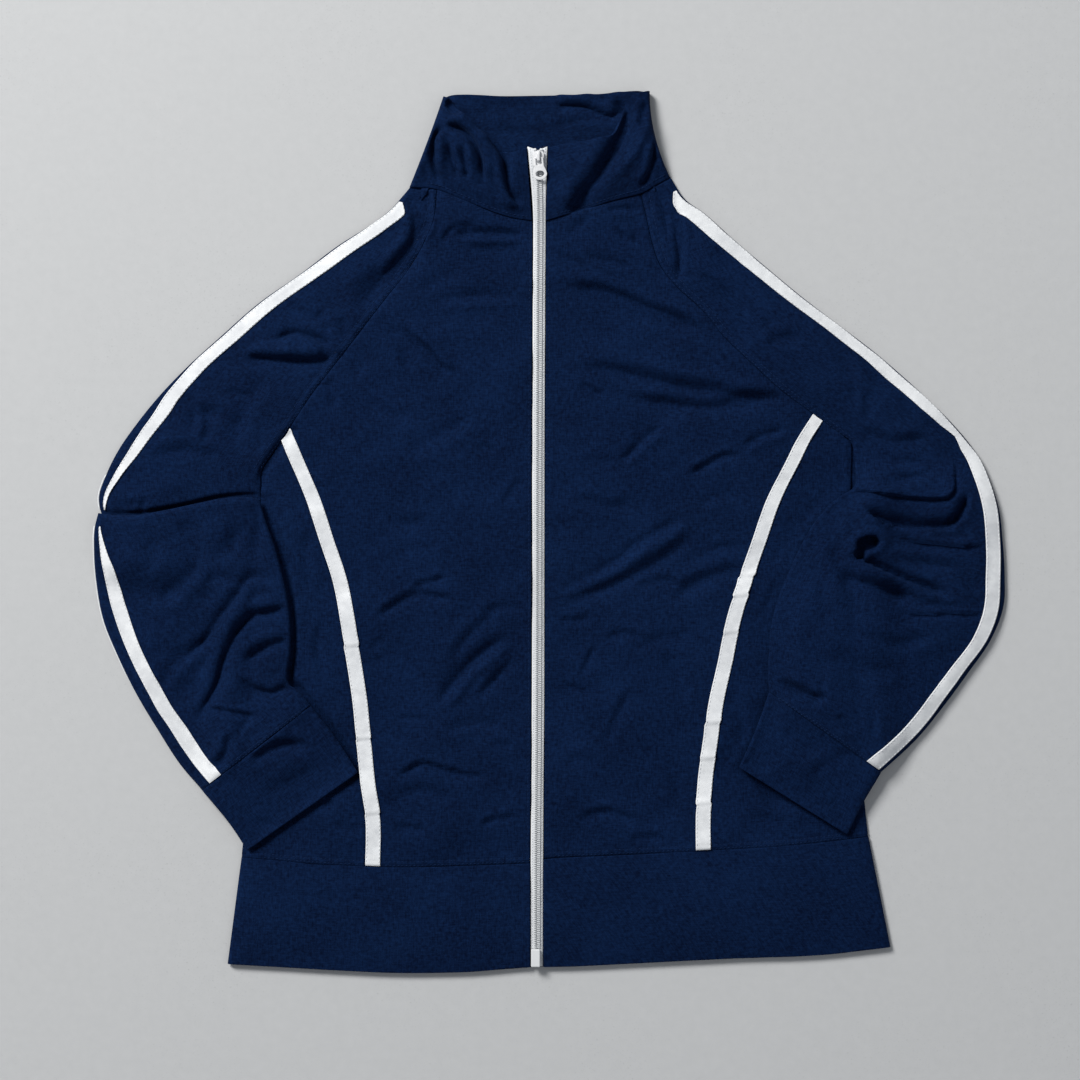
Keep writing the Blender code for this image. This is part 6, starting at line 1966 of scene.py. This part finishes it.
@dataclass
class Band:
    """A doubled band from zip to zip: over the front, round a fold, along the back and up again.

    The tables hold a seam point, a free edge point, bow and rise for each line across the band.
    """
    name: str
    left: Curve
    back: Curve
    right: Curve
    folds: Sequence[Fold]
    back_folds: Sequence[Fold]
    thick: float = 2.0
    round_fold: float = 4.0
    rises: bool = True
    gain: float = 1.0
    shares_step: float = 2.0
    paces: tuple[float, float] = (2.0, 2.6)
    puff: float = 0.0

    def shares(self, length: float) -> Array:
        """Rows from the seam to the free edge, as shares."""
        ends = (CLOTH.seam_inset, 1.3, 2.2, 3.2, 4.6, 6.5)
        return steps(length, self.shares_step, ends, (0.0, 0.5, 1.4, 2.8, 4.6)) / length

    def plan(self, rows: Array, shares: Array) -> Array:
        """Plan points: a row for each share and a column for each line."""
        seam, edge, bow = rows[None, :, :2], rows[None, :, 2:4], rows[None, :, 4]
        share = shares[:, None, None]
        plan = seam * (1 - share) + edge * share
        plan[..., 0] += bow * 4 * (shares * (1 - shares))[:, None]
        return plan

    def low(self, plan: Array, rows: Array, shares: Array) -> Array:
        """Height of the upper layer's underside, without its creases."""
        low = GROUND.under_front(plan)
        if self.rises:
            low = low + (rows[None, :, 5] - low) * shares[:, None]
        if self.puff:
            beside_zip = np.abs(plan[..., 0] - zip_x(plan[..., 1].ravel()).reshape(plan.shape[:-1]))
            low = low + self.puff * 4 * (shares * (1 - shares))[:, None] * smooth(beside_zip, 5.0, 26.0)
        return low

    def grid(self, shares: Array) -> Array:
        """Outer points of the whole band."""
        parts = []
        near = (0.0, 0.3, 0.8, 1.6, 2.8, 4.4)
        at_zip = (CLOTH.seam_inset, 1.4, 2.2, 3.2, 4.6)
        stretches = ((self.left, at_zip, near, True), (self.back, near, near, False),
                     (self.right, near, at_zip, True))
        for curve, first, last, front in stretches:
            rows = curve.at(steps(curve.length, self.paces[0] if front else self.paces[1], first, last))
            plan = self.plan(rows, shares)
            fold_at = [0] if curve is self.right else ([-1] if curve is self.left else [0, -1])
            away = np.min([np.linalg.norm(plan - plan[:, [end]], axis=-1) for end in fold_at], axis=0)
            gone = 1 - rounding(away, self.round_fold)
            if front:
                top = self.low(plan, rows, shares)
                relief = creased(plan, self.folds) * self.gain
                edge_fade = smooth(away, 0.0, 5.0)
                top = top + relief[..., 2] * edge_fade
                wall = CLOTH.wall + (CLOTH.band - CLOTH.wall) * smooth(shares, 0.03, 0.22)[:, None]
                top = np.maximum(top, CLOTH.band + 0.5) + wall
                plan = plan + relief[..., :2] * edge_fade[..., None]
                height = top * (1 - gone / 2)
            else:
                heights = []
                for end in (0, -1):
                    fold_low = self.low(plan[:, [end]], rows[[end]], shares)
                    heights.append(np.maximum(fold_low, CLOTH.band + 0.5) + CLOTH.band)
                middle = len(rows) // 2
                sizes = (middle, len(rows) - middle)
                halves = [np.broadcast_to(side, (len(shares), size)) for side, size in zip(heights, sizes)]
                half = np.concatenate(halves, axis=1) / 2
                relief = creased(plan, self.back_folds) * smooth(away, 4.0, 14.0)[..., None]
                base = 5.0 * self.rises * smooth(away, 3.0, 12.0) * smooth(shares, 0.05, 0.35)[:, None]
                height = half * gone + np.clip(base + relief[..., 2], 0, 8.5) + 0.05
                plan = plan + relief[..., :2]
            parts.append(np.concatenate([plan, height[..., None]], axis=-1))
        return np.concatenate([parts[0], parts[1][:, 1:], parts[2][:, 1:]], axis=1)

    def build(self, palette: Palette, length: float, rests_on: Sequence[str]) -> Array:
        """Makes the band's cloth and returns its outer grid."""
        grid = self.grid(self.shares(length))
        mesh = cloth_mesh(self.name, grid, self.thick, rim=5)
        made = piece(self.name + "_cloth", mesh, palette.knit, [self.name])
        declare(made, grid)
        return grid


@dataclass
class Collar:
    """The stand collar, lying down with its fronts on its back."""
    palette: Palette

    def build(self) -> None:
        """Makes the collar and its row of topstitching."""
        band = Band("collar", Curve(COLLAR_FRONT_LEFT + [COLLAR_FOLD_LEFT]),
                    Curve([COLLAR_FOLD_LEFT, *COLLAR_BACK, COLLAR_FOLD_RIGHT], corners=[0]),
                    Curve([COLLAR_FOLD_RIGHT, *COLLAR_FRONT_RIGHT]), COLLAR_FRONT_FOLDS, COLLAR_BACK_FOLDS,
                    round_fold=3.4, gain=RELIEF.collar_gain, puff=4.4)
        grid = band.build(self.palette, 64.0, ["floor"])
        row = 3
        left = grid[row - 1:row + 2, 2:50]
        right = grid[row - 1:row + 2, -56:-2]
        strips = [np.swapaxes(left, 0, 1), np.swapaxes(right, 0, 1)]
        Stitching().sew("collar_topstitching", strips, self.palette.thread)


@dataclass
class HemBand:
    """The plain doubled band at the hem."""
    palette: Palette
    zip_gap: float = 10.8

    def lines(self, places: Sequence[float], table: Curve,
              at_zip: float | None = None) -> list[tuple[float, ...]]:
        """Lines across the band at places along the hem seam."""
        edge = Curve(HEM_EDGE)
        found = []
        for x in places:
            share = (x - HEM_SEAM[0][0]) / (HEM_SEAM[-1][0] - HEM_SEAM[0][0])
            edge_x = HEM_EDGE[0][0] + share * (HEM_EDGE[-1][0] - HEM_EDGE[0][0])
            if at_zip is not None and abs(x - at_zip) < 1e-6:
                edge_x = x
            found.append((x, float(table.y_at(x)) - 0.3, edge_x, float(edge.y_at(edge_x)), 0, 0))
        return found

    def build(self) -> None:
        """Makes the band."""
        middle = float(zip_x(-356.0))
        seam, seam_back = hem_seam(), Curve(HEM_SEAM_BACK)
        ends = (HEM_SEAM[0][0], HEM_SEAM[-1][0])
        a, b = middle - self.zip_gap / 2, middle + self.zip_gap / 2
        left = self.lines([a, -30.0, -44.0, -57.4, -90.0, -123.0, -164.0, -205.0, -230.0, ends[0]], seam, a)
        back = self.lines([ends[0], -205, -123, -57.4, -10, 73.8, 114.8, 188.6, ends[1]], seam_back)
        right = self.lines([ends[1], 238, 212, 188.6, 150, 114.8, 73.8, 50, 30, 12, b], seam, b)
        band = Band("hem_band", Curve(left), Curve(back), Curve(right), HEM_FOLDS, [], rises=False,
                    round_fold=4.5, paces=(3.5, 6.0))
        band.build(self.palette, 86.0, ["floor"])


# ---------------------------------------------------------------- zip

@dataclass
class Zip:
    """The closed coil zip: woven tapes, two coils, end stops, box, slider and pull."""
    palette: Palette
    top: float = 312.8
    bottom: float = -355.8
    box: tuple[float, float, float] = (7.4, 14.6, 3.4)
    pitch: float = 1.5
    wire: float = 0.4
    slider_y: float = 304.0
    slider_size: tuple[float, float, float] = (9.4, 12.4, 2.8)
    pull_length: float = 18.0
    pull_width: float = 11.6
    pull_tilt: float = 2.4
    pull_swerve: float = 6.0

    def under(self, y: Array) -> Array:
        """Height of the cloth's underside beside the zip."""
        y = np.asarray(y, float)
        low = GROUND.under_front(np.stack([zip_x(y), y], axis=-1))
        share = np.clip((y - NECK_RIGHT[0][1]) / (self.top - NECK_RIGHT[0][1]), 0, 1)
        return low + (CLOTH.collar_rise - low) * share

    def tapes(self) -> None:
        """The woven tapes that carry the coils."""
        y = steps(self.top - self.bottom, 4.0)[::-1] + self.bottom
        strips = []
        for side, word in ((-1, "left"), (1, "right")):
            offs = np.array([5.05, 4.6, 3.8, 2.9, 2.0, 1.0, 0.2])
            rise = np.array([0.35, 0.75, 0.95, 0.95, 0.9, 0.9, 0.9])
            flare = (3.7 if side < 0 else 2.6) * np.clip((y - 254.0) / 59.0, 0, 1) ** 1.4
            x = zip_x(y)[:, None] + side * offs * (1 + flare[:, None] / 5.05)
            high = self.under(y)[:, None] + rise + 0.06 * np.sin(y / 9.0 + side)[:, None]
            slant = (offs - 2.7) * 0.6 * smooth(y, self.top - 9.0, self.top)[:, None]
            grid = np.stack([x, y[:, None] + slant, high], axis=-1)
            name = f"zip_tape_{word}"
            mesh = cloth_mesh(name, grid, CLOTH.tape)
            made = piece(name + "_woven", mesh, self.palette.zip_tape, [name])
            declare(made, grid)
            strips.append(grid[:, 1:4])
        stitching = Stitching(length=1.8, pitch=2.3, radius=0.2)
        stitching.sew("zip_tape_stitching", strips, self.palette.white_thread)

    def coils(self) -> None:
        """Two flattened coils of nylon wire that mesh down the zip's middle."""
        start, end = self.bottom + self.box[1] + 0.4, self.slider_y - self.slider_size[1] / 2 - 0.4
        turns = int((end - start) / self.pitch)
        count = turns * 8
        turn = np.arange(count + 1) / 8
        points, faces, sides = [], [], 5
        for side in (-1, 1):
            y = start + (turn + (0.5 if side > 0 else 0.0)) * self.pitch
            y = np.minimum(y, end)
            phase = turn * 2 * math.pi
            flat_x = np.sign(np.cos(phase)) * np.abs(np.cos(phase)) ** 0.7
            flat_z = np.sign(np.sin(phase)) * np.abs(np.sin(phase)) ** 0.7
            x = zip_x(y) + side * (1.35 - 1.15 * flat_x)
            z = self.under(y) + 1.2 + 0.75 + 0.42 * flat_z
            lean = 0.28 * self.pitch * flat_x
            line = np.stack([x, y + lean, z], axis=-1)
            way = unit(np.gradient(line, axis=0))
            across = unit(np.cross(way, np.array([0.0, 1.0, 0.0])))
            up = np.cross(across, way)
            base = len(points)
            ring = np.arange(sides) * 2 * math.pi / sides
            tube = line[:, None] + self.wire * (np.cos(ring)[None, :, None] * across[:, None]
                                                + np.sin(ring)[None, :, None] * up[:, None])
            points.extend(tube.reshape(-1, 3).tolist())
            index = base + np.arange(len(line) * sides).reshape(len(line), sides)
            one, two = index[:-1], index[1:]
            quads = np.stack([one, np.roll(one, -1, 1), np.roll(two, -1, 1), two], axis=-1).reshape(-1, 4)
            faces.extend(quads.tolist())
        mesh = bpy.data.meshes.new("zip_coils")
        mesh.from_pydata((np.array(points) * MM).tolist(), [], faces)
        mesh.shade_smooth()
        piece("zip_coils", mesh, self.palette.nylon, ["zip_chain"])

    def plate(self, name: str, rings: Sequence[Sequence[Point]], thick: float, edge: float) -> Mesh:
        """A flat plate with rounded edges, from its outline and the outlines of its holes."""
        curve = bpy.data.curves.new(name, "CURVE")
        curve.dimensions, curve.fill_mode = "2D", "BOTH"
        curve.extrude, curve.bevel_depth, curve.bevel_resolution = (thick / 2 - edge) * MM, edge * MM, 3
        curve.offset = -edge * MM
        for ring in rings:
            spline = curve.splines.new("POLY")
            spline.points.add(len(ring) - 1)
            for point, (x, y) in zip(spline.points, ring):
                point.co = (x * MM, y * MM, 0, 1)
            spline.use_cyclic_u = True
        holder = bpy.data.objects.new(name, curve)
        bpy.context.scene.collection.objects.link(holder)
        bpy.context.view_layer.update()
        mesh = bpy.data.meshes.new_from_object(holder.evaluated_get(bpy.context.evaluated_depsgraph_get()))
        bpy.data.objects.remove(holder)
        shape = bmesh.new()
        shape.from_mesh(mesh)
        bmesh.ops.remove_doubles(shape, verts=shape.verts, dist=1e-6)
        shape.to_mesh(mesh)
        shape.free()
        mesh.shade_smooth()
        mesh.set_sharp_from_angle(angle=math.radians(50))
        return mesh

    def place(self, mesh: Mesh, centre: Sequence[float], turn: Sequence[float] = (0, 0, 0)) -> None:
        """Turns a mesh about X, Y and Z in degrees, then moves it to a centre in millimetres."""
        matrix = bpy.data.objects.new("turner", None)
        matrix.rotation_euler = [math.radians(t) for t in turn]
        matrix.location = [c * MM for c in centre]
        mesh.transform(matrix.matrix_basis)
        bpy.data.objects.remove(matrix)

    def rounded(self, corners: Sequence[Point], radius: float, parts: int = 5) -> list[Point]:
        """An outline with its corners rounded."""
        ring = np.array(corners, float)
        found = []
        for before, here, after in zip(np.roll(ring, 1, 0), ring, np.roll(ring, -1, 0)):
            one, two = before - here, after - here
            reach = min(radius, np.linalg.norm(one) * 0.45, np.linalg.norm(two) * 0.45)
            a, b = here + unit(one) * reach, here + unit(two) * reach
            for t in np.linspace(0, 1, parts):
                found.append(tuple((1 - t) ** 2 * a + 2 * t * (1 - t) * here + t * t * b))
        return found

    def slider(self) -> None:
        """The slider's two winged plates, its post and the arch that holds the pull."""
        wide, long, tall = self.slider_size
        deck = float(self.under([self.slider_y])[0]) + 1.3
        x = float(zip_x(self.slider_y))
        side = [(0.74, -1.0), (0.86, -0.55), (1.0, 0.1), (1.0, 0.66), (0.86, 0.92), (0.5, 1.0)]
        corners = [(wide / 2 * a, long / 2 * b) for a, b in side]
        outline = self.rounded(corners + [(-a, b) for a, b in corners[::-1]], 1.6)
        parts = []
        for base, high in ((deck + 0.5, 1.0), (deck + tall - 0.55, 1.1)):
            mesh = self.plate("slider_plate", [outline], high, 0.42)
            self.place(mesh, (x, self.slider_y, base))
            parts.append(mesh)
        wedge = self.rounded([(-1.9, 5.4), (1.9, 5.4), (1.0, 1.0), (0.0, -1.2), (-1.0, 1.0)], 0.8)
        post = self.plate("slider_post", [wedge], tall - 0.6, 0.2)
        self.place(post, (x, self.slider_y, deck + tall / 2))
        parts.append(post)
        strip = self.rounded([(-0.55, -6.0), (0.55, -6.0), (0.6, 1.8), (-0.6, 1.8)], 0.4)
        for wing in (-1, 1):
            rail = self.plate("slider_rail", [strip], tall - 0.5, 0.2)
            centre = (x + wing * (wide / 2 - 1.0), self.slider_y, deck + tall / 2)
            self.place(rail, centre, (0, 0, -wing * 3.0))
            parts.append(rail)
        profile = [(-3.2, -0.4), (-2.5, 2.5), (-1.6, 3.2), (3.6, 3.4), (6.0, 2.5), (7.2, -0.4)]
        gap = [(-1.75, -0.3), (-1.45, 1.9), (-0.9, 2.15), (0.9, 2.15), (1.45, 1.9), (1.75, -0.3)]
        arch = self.plate("slider_arch", [self.rounded(profile, 1.0), self.rounded(gap, 0.5)], 2.4, 0.4)
        self.place(arch, (0, 0, 0), (90, 0, 90))
        self.place(arch, (x, self.slider_y, deck + tall))
        parts.append(arch)
        joined = bmesh.new()
        for mesh in parts:
            joined.from_mesh(mesh)
        body = bpy.data.meshes.new("zip_slider")
        joined.to_mesh(body)
        joined.free()
        body.shade_smooth()
        body.set_sharp_from_angle(angle=math.radians(50))
        piece("zip_slider_enamelled", body, self.palette.enamel, ["zip_slider"])
        self.pull((x, self.slider_y + 0.4, deck + tall + 1.1))

    def pull(self, hinge: Sequence[float]) -> None:
        """The pull: a flat plate with a window at its bar and an eye at its end."""
        neck, half, bar = 3.8, self.pull_width / 2, 0.55
        side = [(neck, bar), (neck, -6.8), (half * 0.86, -self.pull_length * 0.55)]
        turns = [math.pi * part / 20 for part in range(21)]
        end = [(half * math.cos(t), -self.pull_length + 5.2 * (1 - math.sin(t))) for t in turns]
        outline = side + end + [(-x, y) for x, y in side[::-1]]
        window = self.rounded([(2.3, -bar), (2.3, -5.8), (-2.3, -5.8), (-2.3, -bar)], 0.6)
        turns = np.linspace(0, 2 * math.pi, 37)[:-1]
        eye = [(3.5 * math.cos(t), 2.5 * math.sin(t) + 5.0 - self.pull_length) for t in turns]
        mesh = self.plate("zip_pull", [outline, window, eye], 1.1, 0.3)
        self.place(mesh, hinge, (self.pull_tilt, 0, self.pull_swerve))
        piece("zip_pull_enamelled", mesh, self.palette.enamel, ["zip_pull"], PULL)

    def ends(self) -> None:
        """Gives the box and the two stops their finish."""
        for node in ("zip_box", "zip_stop_left", "zip_stop_right"):
            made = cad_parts[node]
            made.data.materials.clear()
            made.data.materials.append(self.palette.nylon)

    def build(self) -> None:
        """Makes the whole zip."""
        self.tapes()
        self.coils()
        self.slider()
        self.ends()


# ---------------------------------------------------------------- studio

@dataclass
class Studio:
    """A plain pale floor, a soft key from the upper left, a weak fill and a camera straight above."""
    view: tuple[float, float] = (-8.2, -7.0)
    width: float = 885.6
    height: float = 2200.0

    def floor(self) -> None:
        """A wide pale floor with a faint mottle."""
        mesh = bpy.data.meshes.new("floor")
        shape = bmesh.new()
        bmesh.ops.create_grid(shape, x_segments=24, y_segments=24, size=4.0)
        shape.to_mesh(mesh)
        shape.free()
        ground = bpy.data.objects.new("floor", mesh)
        ground.location = (0, 0, -0.0002)
        bpy.context.scene.collection.objects.link(ground)
        finish = SmoothFinish("pale_floor", (0.43, 0.44, 0.45), (0.48, 0.49, 0.50), 0.85, grain=6.0,
                              relief=0.05)
        mesh.materials.append(finish.build())

    def lamp(self, name: str, place: Point, high: float, size: float, power: float, colour: Colour) -> None:
        """An area lamp that faces the jacket."""
        light = bpy.data.lights.new(name, "AREA")
        light.shape, light.size, light.energy, light.color = "SQUARE", size, power, colour
        lamp = bpy.data.objects.new(name, light)
        lamp.location = (place[0], place[1], high)
        away = np.array([place[0], place[1], high])
        turn_z = math.atan2(away[1], away[0]) + math.pi / 2
        lamp.rotation_euler = (math.atan2(math.hypot(away[0], away[1]), high), 0, turn_z)
        bpy.context.scene.collection.objects.link(lamp)

    def lights(self) -> None:
        """Key, fill and a pale surround."""
        self.lamp("key", (-2.5, 2.8), 3.1, 1.6, 330.0, (1.0, 0.985, 0.96))
        self.lamp("fill", (1.8, -0.8), 2.4, 2.2, 9.0, (0.93, 0.96, 1.0))
        world = bpy.data.worlds.new("surround")
        world.use_nodes = True
        back = world.node_tree.nodes["Background"]
        back.inputs["Color"].default_value = (0.9, 0.94, 1.0, 1.0)
        back.inputs["Strength"].default_value = 0.26
        bpy.context.scene.world = world
        bpy.context.scene.view_settings.view_transform = "Standard"

    def camera(self) -> None:
        """The camera, straight above."""
        data = bpy.data.cameras.new("camera")
        data.sensor_width = 36.0
        data.lens = 36.0 * self.height / self.width
        data.clip_end = 20.0
        camera = bpy.data.objects.new("camera", data)
        camera.location = (self.view[0] * MM, self.view[1] * MM, self.height * MM)
        bpy.context.scene.collection.objects.link(camera)
        bpy.context.scene.camera = camera

    def build(self) -> None:
        """Sets up the studio."""
        self.floor()
        self.lights()
        self.camera()


def main() -> None:
    """Dresses the jacket, part by part."""
    logging.basicConfig(level=logging.INFO, format="%(name)s %(message)s")
    Studio().build()
    palette = Palette.mix()
    Body(palette).build()
    Sleeves(palette).build()
    Collar(palette).build()
    HemBand(palette).build()
    Zip(palette).build()


if __name__ == "__main__":
    main()
